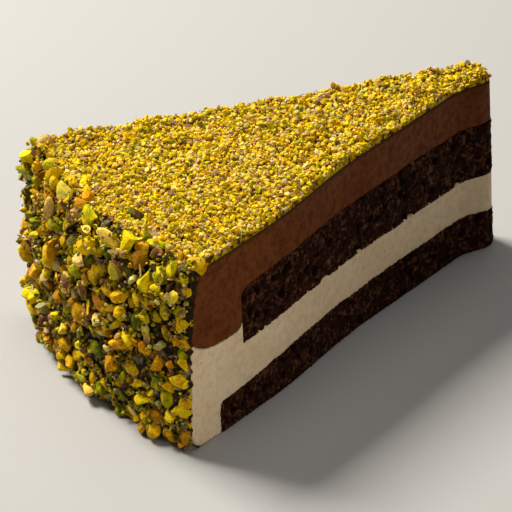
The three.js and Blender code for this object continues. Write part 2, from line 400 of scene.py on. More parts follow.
def move_points(piece: Piece, move: Callable[[np.ndarray], np.ndarray]) -> None:
    """Moves the points of a piece.

    Args:
        piece: The piece.
        move: Gives the points' new places from the old ones.
    """
    moved = move(read_points(piece)).astype(np.float32)
    piece.data.vertices.foreach_set("co", moved.ravel())
    piece.data.update()


def ease(values: np.ndarray | float, low: float, high: float) -> np.ndarray | float:
    """Rises smoothly from 0 at the low value to 1 at the high one."""
    t = np.clip((values - low) / (high - low), 0.0, 1.0)
    return t * t * (3 - 2 * t)


def patchy(place: np.ndarray, size: float) -> float:
    """Soft noise round 0 at a place, in patches of a given size."""
    return noise.noise(Vector(place.tolist()) / size)


# ---- The cake's form ----


@dataclass(frozen=True)
class CakeForm:
    """The moulded body of the whole cake, and the knife cuts that free one slice."""

    tip_y: float
    body_top: float
    apex_x: float = -0.5 * MM
    axis_across: float = 6 * MM
    base_radius: float = 127.2 * MM
    draft: float = 5.4 * MM
    fullness: float = 2.6
    foot: float = 4 * MM
    half_angle: float = math.radians(17.5)
    apex_past_axis: float = 9 * MM
    tip_lost: float = 11.5 * MM
    tip_chamfer: float = 0.7 * MM
    hollow: float = 3.3 * MM
    hollow_near: Span = (13.1 * MM, 24 * MM)
    hollow_far: Span = (62 * MM, 102 * MM)

    @property
    def apex_y(self) -> float:
        """Where the two cuts would meet."""
        return self.tip_y + self.tip_lost

    @property
    def axis(self) -> Span:
        """Where the whole cake's axis stands."""
        return self.apex_x + self.axis_across, self.apex_y - self.apex_past_axis

    def wall_radius(self, height: float) -> float:
        """The radius of the moulded wall at a height, above its rounded foot."""
        share = min(max(height / self.body_top, 0.0), 1.0)
        return self.base_radius - self.draft * share**self.fullness

    def foot_inset(self, height: float) -> float:
        """How far the rounding of the foot lies inside the wall at a height."""
        below = min(max(self.foot - height, 0.0), self.foot)
        return self.foot - math.sqrt(self.foot**2 - below**2)

    def cuts(self) -> list[tuple[Vector, Vector]]:
        """Places the planes of both sides, the blunt tip and the tip's two corners.

        Returns:
            A point and an outward normal for each.
        """
        apex = Vector((self.apex_x, self.apex_y, 0))
        ahead = Vector((0, 1, 0))
        planes = [(Vector((self.apex_x, self.tip_y, 0)), ahead)]
        for side in (1, -1):
            normal = Vector((side * math.cos(self.half_angle), math.sin(self.half_angle), 0))
            corner_x = self.apex_x + side * self.tip_lost * math.tan(self.half_angle)
            between = (normal + ahead).normalized()
            corner = Vector((corner_x, self.tip_y, 0)) - self.tip_chamfer * between
            planes += [(apex, normal), (corner, between)]
        return planes

    def depth(self, points: np.ndarray) -> np.ndarray:
        """How far points lie inside the nearest cut, below 0 outside."""
        depths = [(np.asarray(point) - points) @ np.asarray(normal) for point, normal in self.cuts()]
        return np.min(depths, axis=0)

    def hollowed(self, points: np.ndarray) -> np.ndarray:
        """Moves points of the plain wedge to where they are in the slice, whose right cut is hollow.

        Args:
            points: Places in the plain wedge.

        Returns:
            Their places in the slice, none of them under its base.
        """
        moved = np.array(points, float)
        along = self.apex_y - moved[:, 1]
        share = ease(along, *self.hollow_near) * (1 - ease(along, *self.hollow_far))
        width = np.maximum(along, self.tip_lost) * math.tan(self.half_angle)
        across = np.clip((1 + (moved[:, 0] - self.apex_x) / width) / 2, 0.0, 1.0)
        moved[:, 0] -= self.hollow * share * across
        moved[:, 2] = np.maximum(moved[:, 2], 0.0)
        return moved

    def mould(self, name: str, outline: Outline, grid: float, proud: float, steps: int = 144) -> Piece:
        """Turns an outline, cuts the wedge free and gives it an even fine mesh.

        Args:
            name: The name of the piece.
            outline: (radius, height) points.
            grid: The mesh's spacing.
            proud: How far it reaches past the cuts, below 0 where it stops short.
            steps: The number of steps round.

        Returns:
            The closed piece, with straight cuts.
        """
        Bench.turn(name, outline, self.axis, steps)
        for point, normal in self.cuts():
            Bench.cut(point + proud * normal, normal)
        Bench.end()
        piece = bpy.context.object
        Bench.apply(piece, "REMESH", mode="VOXEL", voxel_size=grid, use_smooth_shade=True)
        return piece


def line(start: float, end: float, height: Callable[[float], float], steps: int) -> Outline:
    """Outline points over a stretch of radius, both ends included."""
    return [(r, height(r)) for r in np.linspace(start, end, steps + 1).tolist()]


def bend(r: float, z: float, radius: float, start: float, end: float, steps: int) -> Outline:
    """Outline points round an arc, with its angles in degrees."""
    angles = np.radians(np.linspace(start, end, steps + 1)).tolist()
    return [(r + radius * math.cos(a), z + radius * math.sin(a)) for a in angles]


@dataclass(frozen=True)
class LayerLines:
    """The lines between the layers, as heights over the cake's radius."""

    cake: CakeForm
    sponge_top: float
    base_radius: float = 116.2 * MM
    base_edge: float = 8.2 * MM
    base_middle: float = 10.9 * MM
    base_corner: float = 1.4 * MM
    sponge_radius: float = 106.2 * MM
    sponge_low_edge: float = 21.4 * MM
    sponge_low: float = 22 * MM
    sponge_edge_drop: float = 0.6 * MM
    sponge_corner: float = 3.4 * MM
    shoulder: float = 25.2 * MM
    shoulder_rise: float = 5.9 * MM
    spur_height: float = 2.4 * MM
    spur_width: float = 1.6 * MM
    flat_radius: float = 82 * MM
    swell: float = 0.45 * MM

    def _towards_edge(self, r: float, middle: float, edge: float, radius: float) -> float:
        """Eases a height from a sponge's middle to its edge."""
        t = min(max((r - self.flat_radius) / (radius - self.flat_radius), 0.0), 1.0)
        return middle + (edge - middle) * t * t * (3 - 2 * t)

    def base_top(self, r: float) -> float:
        """The top of the base sponge."""
        return self._towards_edge(r, self.base_middle, self.base_edge, self.base_radius)

    def middle_low(self, r: float) -> float:
        """The underside of the middle sponge."""
        return self._towards_edge(r, self.sponge_low, self.sponge_low_edge, self.sponge_radius)

    def middle_high(self, r: float) -> float:
        """The top of the middle sponge."""
        edge = self.sponge_top - self.sponge_edge_drop
        return self._towards_edge(r, self.sponge_top, edge, self.sponge_radius)

    def cream_shoulder(self, r: float) -> float:
        """The top of the cream outside the middle sponge, with its thin point beside the sponge.

        Args:
            r: The radius.

        Returns:
            The height.
        """
        beyond = r - self.sponge_radius
        t = beyond / (self.cake.base_radius - self.sponge_radius)
        spur = max(0.0, 1 - beyond / self.spur_width)
        return self.shoulder + self.shoulder_rise * t**4 + self.spur_height * spur * spur

    @property
    def shoulder_wall(self) -> float:
        """The cream's height where it meets the moulded wall."""
        return self.cream_shoulder(self.cake.wall_radius(self.shoulder + 0.75 * self.shoulder_rise))

    def _wall(self, low: float, high: float) -> Outline:
        """The moulded wall, from a height to another."""
        return [(self.cake.wall_radius(z), z) for z in np.linspace(low, high, 7).tolist()]

    def _shoulder(self) -> Outline:
        """Draws the cream's shoulder, from the moulded wall in to the middle sponge.

        Returns:
            Its outline points.
        """
        spur = self.sponge_radius + self.spur_width
        rise = line(spur, self.sponge_radius, self.cream_shoulder, 4)
        return line(self.cake.wall_radius(self.shoulder_wall), spur, self.cream_shoulder, 8) + rise[1:]

    @staticmethod
    def _crown(top: Callable[[float], float], edge: float, corner: float, steps: int) -> Outline:
        """A sponge's rounded top corner and its top, in to the axis."""
        r = edge - corner
        return bend(r, top(r) - corner, corner, 0, 90, steps) + line(r, 0, top, 20)[1:]

    def _base_crown(self, swell: float = 0.0) -> Outline:
        """The base sponge's top corner and top, swollen by so much."""
        edge = self.base_radius + swell
        return self._crown(lambda r: self.base_top(r) + swell, edge, self.base_corner, 4)

    def _middle_crown(self, swell: float = 0.0) -> Outline:
        """The middle sponge's top corner and top, swollen by so much."""
        edge = self.sponge_radius + swell
        return self._crown(lambda r: self.middle_high(r) + swell, edge, self.sponge_corner, 6)

    def base_sponge(self) -> Outline:
        """The base sponge's outline, swollen into its neighbours."""
        return line(0, self.base_radius + self.swell, lambda r: 0.0, 8) + self._base_crown(self.swell)

    def middle_sponge(self) -> Outline:
        """The middle sponge's outline, swollen into its neighbours."""
        low = line(0, self.sponge_radius + self.swell, lambda r: self.middle_low(r) - self.swell, 20)
        return low + self._middle_crown(self.swell)

    def cream(self) -> Outline:
        """The cream mousse's outline."""
        foot = self.cake.foot
        return [
            *reversed(self._base_crown()),
            (self.base_radius, 0.0),
            *bend(self.cake.base_radius - foot, foot, foot, -90, 0, 6),
            *self._wall(foot, self.shoulder_wall)[1:-1],
            *self._shoulder(),
            *line(self.sponge_radius, 0, self.middle_low, 20),
        ]

    def chocolate(self) -> Outline:
        """The chocolate mousse's outline."""
        top = self.cake.body_top
        return [
            *reversed(self._middle_crown()),
            *reversed(self._shoulder()),
            *self._wall(self.shoulder_wall, top)[1:],
            *line(self.cake.wall_radius(top), 0, lambda r: top, 12)[1:],
        ]


# ---- Finishes ----


@dataclass(frozen=True)
class PistachioPalette:
    """The colours of pistachio flesh, from roasted to green, and of its skin."""

    flesh: tuple[tuple[float, Color], ...] = (
        (0.00, (0.50, 0.20, 0.001)),
        (0.22, (0.72, 0.41, 0.001)),
        (0.46, (0.80, 0.58, 0.002)),
        (0.60, (0.45, 0.41, 0.001)),
        (0.78, (0.19, 0.21, 0.001)),
        (1.00, (0.060, 0.072, 0.0)),
    )
    pale: Color = (0.82, 0.68, 0.37)
    skin: Color = (0.15, 0.054, 0.014)
    dusty_skin: Color = (0.42, 0.22, 0.14)


class Pantry:
    """The node groups that several finishes share, built once."""

    def __init__(self) -> None:
        """Builds the groups."""
        self.colour = self._colour(PistachioPalette())
        self.mottle = self._mottle()
        self.pinholes = self._pinholes()

    @staticmethod
    def _begin(name: str, numbers: dict[str, float], output: str,
               kind: str = "Float") -> tuple[Graph, bpy.types.NodeOutputs]:
        """Starts a shader node group.

        Args:
            name: The group's name.
            numbers: Each number input and its value. A group also has a Vector input.
            output: The name of its output.
            kind: The output's type.

        Returns:
            The group's graph, and the sockets that give its inputs.
        """
        tree = bpy.data.node_groups.new(name, "ShaderNodeTree")
        tree.interface.new_socket("Vector", in_out="INPUT", socket_type="NodeSocketVector")
        for label, value in numbers.items():
            made = tree.interface.new_socket(label, in_out="INPUT", socket_type="NodeSocketFloat")
            made.default_value = value
        tree.interface.new_socket(output, in_out="OUTPUT", socket_type=f"NodeSocket{kind}")
        graph = Graph(tree)
        return graph, graph.node("NodeGroupInput").outputs

    @staticmethod
    def _end(graph: Graph, result: Socket) -> bpy.types.NodeTree:
        """Feeds a group's output and gives the group."""
        graph.node("NodeGroupOutput", {0: result})
        return graph.tree

    def _colour(self, palette: PistachioPalette) -> bpy.types.NodeTree:
        """Builds the colour of a bit of pistachio from its pick, shade, paleness and skin.

        Args:
            palette: The colours.

        Returns:
            The group.
        """
        numbers = {"Pick": 0.3, "Shade": 1.0, "Pale": 0.0, "Skin": 0.0}
        graph, given = self._begin("pistachio_colour", numbers, "Color", "Color")
        light = graph.blend(given["Pale"], graph.ramp(given["Pick"], palette.flesh), palette.pale)
        skin = graph.blend(given["Pale"], palette.skin, palette.dusty_skin)
        skinned = graph.blend(given["Skin"], light, skin)
        return self._end(graph, graph.blend(1.0, skinned, graph.grey(given["Shade"]), "MULTIPLY"))

    def _mottle(self) -> bpy.types.NodeTree:
        """Builds soft blotches round 0.5.

        Returns:
            The group.
        """
        graph, given = self._begin("mottle", {"Size": 0.004, "Contrast": 1.0}, "Factor")
        scale = graph.math("DIVIDE", 1.0, given["Size"])
        inputs = {"Vector": given["Vector"], "Scale": scale, "Detail": 4.0, "Roughness": 0.62}
        blotches = graph.node("ShaderNodeTexNoise", inputs).outputs[0]
        return self._end(graph, graph.add(graph.times(graph.less(blotches, 0.5), given["Contrast"]), 0.5))

    def _pinholes(self) -> bpy.types.NodeTree:
        """Builds small round air holes, 1 in each hole.

        Returns:
            The group.
        """
        numbers = {"Size": 0.003, "Share": 0.2, "Radius": 0.2}
        graph, given = self._begin("pinholes", numbers, "Mask")
        place = graph.warped(given["Vector"], 2 * MM, 0.6 * MM)
        scale = graph.math("DIVIDE", 1.0, given["Size"])
        cells = graph.node("ShaderNodeTexVoronoi", {"Vector": place, "Scale": scale})
        chance, own = graph.split(cells.outputs["Color"])[:2]
        present = graph.math("LESS_THAN", chance, given["Share"])
        radius = graph.times(graph.span(own, 0.0, 1.0, 0.35, 1.0), given["Radius"])
        inside = graph.less(1.0, graph.math("DIVIDE", cells.outputs["Distance"], radius))
        return self._end(graph, graph.times(graph.span(inside, 0.0, 0.5), present))


@dataclass(frozen=True)
class Shine:
    """What the Principled shader's plain sockets are set to."""

    roughness: float
    specular: float
    subsurface: float = 0.0
    depth: float = 1 * MM
    scatter: Color = (1.0, 0.5, 0.25)


class Finish:
    """A material in the making: its graph, its coordinates and its Principled shader."""

    def __init__(self, name: str, shine: Shine, pantry: Pantry) -> None:
        """Starts a material.

        Args:
            name: The material's name.
            shine: The values of its plain sockets.
            pantry: The shared node groups.
        """
        self.pantry = pantry
        self.material = bpy.data.materials.new(name)
        self.material.use_nodes = True
        self.material.node_tree.nodes.clear()
        self.graph = Graph(self.material.node_tree)
        self.place = self.graph.node("ShaderNodeTexCoord").outputs["Object"]
        plain = {
            "Roughness": shine.roughness,
            "Specular IOR Level": shine.specular,
            "Subsurface Weight": shine.subsurface,
            "Subsurface Scale": shine.depth,
            "Subsurface Radius": shine.scatter,
        }
        self.shader = self.graph.node("ShaderNodeBsdfPrincipled", plain)
        self.graph.node("ShaderNodeOutputMaterial", {"Surface": self.shader.outputs[0]})

    def group(self, tree: bpy.types.NodeTree, **values: Value) -> Socket:
        """Places a shared group and gives its output."""
        inputs = {"Vector": self.place, **values}
        return self.graph.node("ShaderNodeGroup", inputs, node_tree=tree).outputs[0]

    def mottle(self, size: float, contrast: float) -> Socket:
        """Soft blotches of a given size."""
        return self.group(self.pantry.mottle, Size=size, Contrast=contrast)

    def pinholes(self, size: float, share: float, radius: float) -> Socket:
        """Small round holes in a share of the cells of a given size."""
        return self.group(self.pantry.pinholes, Size=size, Share=share, Radius=radius)

    def attribute(self, name: str) -> bpy.types.NodeOutputs:
        """Reads an attribute of the piece's mesh."""
        return self.graph.node("ShaderNodeAttribute", attribute_name=name).outputs

    def finish(self, color: Value, height: Value, depth: float, rough: Value | None = None) -> Material:
        """Feeds the shader.

        Args:
            color: The base colour.
            height: The bump's height, from 0 to 1.
            depth: What a height of 1 stands for, in metres.
            rough: The roughness, where it varies.

        Returns:
            The finished material.
        """
        bump = self.graph.node("ShaderNodeBump", {"Height": height, "Distance": depth, "Strength": 1.0})
        self.graph.feed(self.shader.inputs["Base Color"], color)
        self.graph.feed(self.shader.inputs["Normal"], bump.outputs[0])
        if rough is not None:
            self.graph.feed(self.shader.inputs["Roughness"], rough)
        return self.material


@dataclass(frozen=True)
class SpongeFinish:
    """Dark chocolate sponge with an open, crumbly cut, with painted light on its raised crumbs and painted
    shade in its pores.
    """

    crumb: Color = (0.019, 0.0046, 0.0010)
    # The lighter crumb colour, also the painted light on raised crumbs.
    light_crumb_and_highlight: Color = (0.185, 0.075, 0.036)
    # Painted shade in the pores and pinholes.
    painted_pore_shade: Color = (0.003, 0.0009, 0.0003)

    def build(self, pantry: Pantry) -> Material:
        """Builds the material, with painted light on raised crumbs and painted shade in the pores and
        pinholes.

        Args:
            pantry: The shared node groups.

        Returns:
            The material.
        """
        finish = Finish("chocolate_sponge", Shine(roughness=0.85, specular=0.06), pantry)
        graph = finish.graph
        sunk = finish.attribute("sunk")["Fac"]
        blotch = finish.mottle(3.2 * MM, 1.8)
        lump = finish.mottle(1.1 * MM, 2.8)
        grain = finish.mottle(0.25 * MM, 1.6)
        fine = finish.pinholes(0.6 * MM, 0.5, 0.45)
        # Painted light: points that the relief raised are lightened.
        raised = graph.span(sunk, -0.5 * MM, 0.45 * MM, 0.32, -0.1)
        tone_and_painted_light = graph.span(graph.add(graph.times(graph.add(blotch, lump), 0.5), raised), 0.5, 1.05)
        # Painted shade: points that the relief sank, and the pinholes, are darkened to near black.
        deep = graph.span(sunk, 0.05 * MM, 0.85 * MM)
        pores = graph.math("MAXIMUM", graph.times(fine, 0.6), deep)
        color = graph.blend(pores, graph.blend(tone_and_painted_light, self.crumb, self.light_crumb_and_highlight), self.painted_pore_shade)
        height = graph.less(graph.times(graph.add(lump, grain), 0.5), graph.times(fine, 0.5))
        return finish.finish(color, height, 0.5 * MM)


@dataclass(frozen=True)
class MousseFinish:
    """Smooth set mousse, cut with a wet knife. A painted shadow from the crumb darkens it above a height,
    and painted shade darkens its air holes.
    """

    name: str
    body: Color
    light: Color
    dark: Color
    # Painted shade inside the air holes.
    hole: Color
    shine: Shine
    painted_crumb_shadow: Color = (0.0, 0.0, 0.0)
    painted_shadow_heights: Span = (1.0, 1.0)

    def build(self, pantry: Pantry) -> Material:
        """Builds the material.

        Args:
            pantry: The shared node groups.

        Returns:
            The material.
        """
        finish = Finish(self.name, self.shine, pantry)
        graph = finish.graph
        cloud = finish.mottle(9 * MM, 1.5)
        fleck = finish.mottle(1.9 * MM, 2.4)
        fine = finish.mottle(0.35 * MM, 1.2)
        holes = finish.pinholes(2.6 * MM, 0.2, 0.14)
        clouded = graph.blend(graph.span(cloud, 0.25, 0.75), self.body, self.light)
        flecked = graph.blend(graph.span(fleck, 0.3, 0.9, 0.0, 0.65), clouded, self.dark)
        # Painted shade: the air holes are darkened toward the hole colour.
        with_painted_hole_shade = graph.blend(graph.times(holes, 0.7), flecked, self.hole)
        wander = graph.span(cloud, 0.0, 1.0, -0.4 * MM, 0.4 * MM)
        height = graph.add(graph.split(finish.place)[2], wander)
        # Painted shadow: the band just under the crumb is darkened.
        color = graph.blend(graph.span(height, *self.painted_shadow_heights), with_painted_hole_shade, self.painted_crumb_shadow)
        bumps = graph.add(graph.times(fleck, 0.35), graph.times(fine, 0.25))
        relief = graph.less(bumps, graph.times(holes, 0.9))
        rough = graph.span(fleck, 0.2, 0.9, self.shine.roughness - 0.08, self.shine.roughness + 0.1)
        return finish.finish(color, relief, 0.3 * MM, rough)


@dataclass(frozen=True)
class MealFinish:
    """Packed pistachio meal: small cells, each with the colour of a bit of nut or skin, and painted shade
    darkening each cell toward its edge.
    """

    cell: float = 0.9 * MM
    skin_share: float = 0.2
    shade: float = 0.8

    def build(self, pantry: Pantry) -> Material:
        # Painted shadow of the crumb, along the top of the cut.
        """Builds the material.

        Args:
            pantry: The shared node groups.

        Returns:
            The material.
        """
        finish = Finish("pistachio_meal", Shine(roughness=0.8, specular=0.04), pantry)
        graph = finish.graph
        cells = graph.cells(graph.warped(finish.place, 2 * self.cell, 0.6 * self.cell), self.cell)
        first, second, third = graph.split(cells.outputs["Color"])
        skin = graph.math("LESS_THAN", second, self.skin_share)
        pick = graph.span(first, 0.0, 1.0, 0.08, 0.5)
        pale = graph.span(third, 0.8, 1.0, 0.0, 0.5)
        # Painted shade between the bits: the colour falls from the shade value to half of it toward each
        # cell's edge.
        gap = graph.span(cells.outputs["Distance"], 0.3, 0.75, self.shade, self.shade * 0.5)
        color = finish.group(pantry.colour, Pick=pick, Shade=gap, Pale=pale, Skin=skin)
        height = graph.span(cells.outputs["Distance"], 0.0, 0.8, 1.0, 0.0)
        return finish.finish(color, height, 0.4 * self.cell)


@dataclass(frozen=True)
class NutFinish:
    """Bits of pistachio, each with the colour that its tint and husk attributes give it."""

    name: str
    shine: Shine
    vein: float
    bump: float = 0.2 * MM
    pale_vein: float = 0.15

    def build(self, pantry: Pantry) -> Material:
        """Builds the material.

        Args:
            pantry: The shared node groups.

        Returns:
            The material.
        """
        finish = Finish(self.name, self.shine, pantry)
        graph = finish.graph
        pick, shade, pale = graph.split(finish.attribute("tint")["Color"])
        husk = finish.attribute("husk")["Fac"]
        blotch = finish.mottle(2 * self.vein, 2.2)
        vein = finish.mottle(0.5 * self.vein, 1.8)
        drift = graph.add(pick, graph.span(blotch, 0.1, 0.9, -0.17, 0.17))
        greener = graph.add(drift, graph.times(husk, 0.12))
        skin = graph.span(graph.less(husk, blotch), -0.04, 0.06)
        spots = graph.times(shade, graph.span(vein, 0.1, 0.8, 0.78, 1.1))
        paler = graph.add(pale, graph.span(vein, 0.55, 0.95, 0.0, self.pale_vein))
        color = finish.group(pantry.colour, Pick=greener, Shade=spots, Pale=paler, Skin=skin)
        rough = graph.span(blotch, 0.2, 0.9, self.shine.roughness - 0.1, self.shine.roughness + 0.18)
        return finish.finish(color, graph.add(vein, skin), self.bump, rough)


@dataclass(frozen=True)
class BedFinish:
    """What shows between the chopped nuts: mousse smeared with nut dust, and with cream lower down. The
    mousse and dust colours are darkened far below their own as painted shade in the gaps.
    """

    # Painted shade: mousse and nut dust as dark as they look deep between the nuts.
    mousse: Color = (0.015, 0.007, 0.002)
    dust: Color = (0.12, 0.08, 0.005)
    cream: Color = (0.42, 0.31, 0.17)
    cream_top: Span = (24 * MM, 27 * MM)

    def build(self, pantry: Pantry) -> Material:
        """Builds the material.

        Args:
            pantry: The shared node groups.

        Returns:
            The material.
        """
        finish = Finish("nut_bed", Shine(roughness=0.75, specular=0.12), pantry)
        graph = finish.graph
        speck = finish.mottle(1.4 * MM, 2.4)
        smear = finish.mottle(3 * MM, 2.2)
        shaded_dusted_bed = graph.blend(graph.span(speck, 0.5, 0.9, 0.0, 0.7), self.mousse, self.dust)
        low = graph.span(graph.split(finish.place)[2], *self.cream_top, 1.0, 0.0)
        share = graph.times(low, graph.span(smear, 0.5, 0.8, 0.0, 0.6))
        return finish.finish(graph.blend(share, shaded_dusted_bed, self.cream), speck, 0.3 * MM)


@dataclass(frozen=True)
class NutFinishes:
    """The finishes of everything that is chopped or ground from pistachio."""

    kernel: Material
    skin: Material
    grain: Material

    @classmethod
    def build(cls, pantry: Pantry) -> "NutFinishes":
        """Builds all three.

        Args:
            pantry: The shared node groups.

        Returns:
            The finishes.
        """
        waxy = Shine(0.25, 0.05, subsurface=0.12, depth=0.8 * MM, scatter=(1.0, 0.8, 0.05))
        papery = Shine(0.45, 0.22)
        dull = Shine(0.5, 0.04, subsurface=0.3, depth=0.8 * MM, scatter=(1.0, 0.8, 0.1))
        return cls(
            kernel=NutFinish("pistachio_kernel", waxy, vein=0.9 * MM, pale_vein=0.04).build(pantry),
            skin=NutFinish("pistachio_skin", papery, vein=0.4 * MM).build(pantry),
            grain=NutFinish("pistachio_grain", dull, vein=0.5 * MM, bump=0.05 * MM).build(pantry),
        )


# ---- Layers ----


@dataclass(frozen=True)
class SettledWave:
    """The slow unevenness of the layers, the same for neighbours so that they still meet."""

    body_top: float
    height: float = 1.5 * MM
    length: float = 15 * MM
    ragged_height: float = 0.9 * MM
    ragged_length: float = 4.5 * MM
    flat_below: float = 9 * MM
    flat_above: float = 38 * MM

    def offset(self, skin: Skin) -> Socket:
        """Lifts and drops the middle of the slice, and leaves its base and top level.

        Args:
            skin: The surface.

        Returns:
            The vector that each point moves by.
        """
        graph, place = skin.graph, skin.place
        slow = graph.swell(place, self.length, self.height)
        lift = graph.add(slow, graph.swell(place, self.ragged_length, self.ragged_height))
        z = graph.split(place)[2]
        low = graph.span(z, 0.0, self.flat_below)
        high = graph.span(z, self.flat_above, self.body_top, 1.0, 0.0)
        shift = graph.times(lift, graph.times(low, high))
        return graph.node("ShaderNodeCombineXYZ", {"Z": shift}).outputs[0]


@dataclass
class Layer:
    """One layer of the slice, whose cut surface each kind of layer shapes for itself."""

    name: str
    node: str
    slot: str
    cake: CakeForm
    outline: Outline
    grid: float = 0.55 * MM
    proud: float = 0.0

    def relief(self, skin: Skin) -> Socket:
        """How far the surface moves along its normal."""
        raise NotImplementedError

    def build(self, material: Material) -> None:
        """Models and dresses the layer.

        Args:
            material: Its finish, which may read how far the relief sank each point.
        """
        piece = self.cake.mould(self.name, self.outline, self.grid, self.proud)
        reshape(piece, SettledWave(self.cake.body_top).offset)
        before, normals = read_points(piece), read_points(piece, "normal")
        reshape(piece, lambda skin: skin.outward(self.relief(skin)))
        sunk = ((before - read_points(piece)) * normals).sum(axis=1)
        piece.data.attributes.new("sunk", "FLOAT", "POINT").data.foreach_set("value", sunk)
        move_points(piece, self.cake.hollowed)
        Bench.dress(piece, material, self.slot, self.node)


@dataclass
class SpongeLayer(Layer):
    """A layer of chocolate sponge, torn into pores and crumbs where the knife went through."""

    grid: float = 0.45 * MM
    proud: float = 0.12 * MM
    warp: Span = (2.5 * MM, 2.2 * MM)
    pores: Pits = Pits(size=3.2 * MM, share=0.5, radius=0.5, depth=1.4 * MM)
    small_pores: Pits = Pits(size=1.5 * MM, share=0.55, radius=0.55, depth=0.8 * MM)
    crumb: float = 0.9 * MM
    crumb_height: float = 1.1 * MM
    crumb_texture: Span = (3.0, 0.65)

    def relief(self, skin: Skin) -> Socket:
        """Sinks pores into the surface and raises crumbs from it.

        Args:
            skin: The surface.

        Returns:
            How far each point moves along its normal.
        """
        graph = skin.graph
        warped = graph.warped(skin.place, *self.warp)
        sunk = graph.add(graph.pits(warped, self.pores), graph.pits(warped, self.small_pores))
        return graph.add(sunk, graph.swell(skin.place, self.crumb, self.crumb_height, *self.crumb_texture))


@dataclass
class MousseLayer(Layer):
    """A layer of mousse, smooth where the knife went through apart from faint drag and air holes."""

    drag: Span = (5 * MM, 0.22 * MM)
    drag_stretch: Triple = (1.0, 1.0, 0.35)
    ripple: Span = (1.2 * MM, 0.07 * MM)
    warp: Span = (3 * MM, 1.5 * MM)
    holes: Pits = Pits(size=5 * MM, share=0.3, radius=0.12, depth=0.35 * MM)

    def relief(self, skin: Skin) -> Socket:
        """Leaves slight waves where the knife went down, and a few air holes.

        Args:
            skin: The surface.

        Returns:
            How far each point moves along its normal.
        """
        graph, place = skin.graph, skin.place
        drag = graph.swell(graph.vector("MULTIPLY", place, self.drag_stretch), *self.drag)
        waves = graph.add(drag, graph.swell(place, *self.ripple))
        return graph.add(waves, graph.pits(graph.warped(place, *self.warp), self.holes))


# ---- Loose bits of nut ----


@dataclass(frozen=True)
class Bit:
    """One modelled bit of nut, about 1 long, as plain arrays for copying."""

    points: np.ndarray
    corners: np.ndarray
    totals: np.ndarray
    natural: np.ndarray


class BitShape(Enum):
    """How a bit of pistachio was cut."""

    CHUNK = "chunk"
    SMALL_CHUNK = "small chunk"
    HALF = "half"
    SLICE = "slice"
    SLIVER = "sliver"
    GRAIN = "grain"
    FLAKE = "flake"


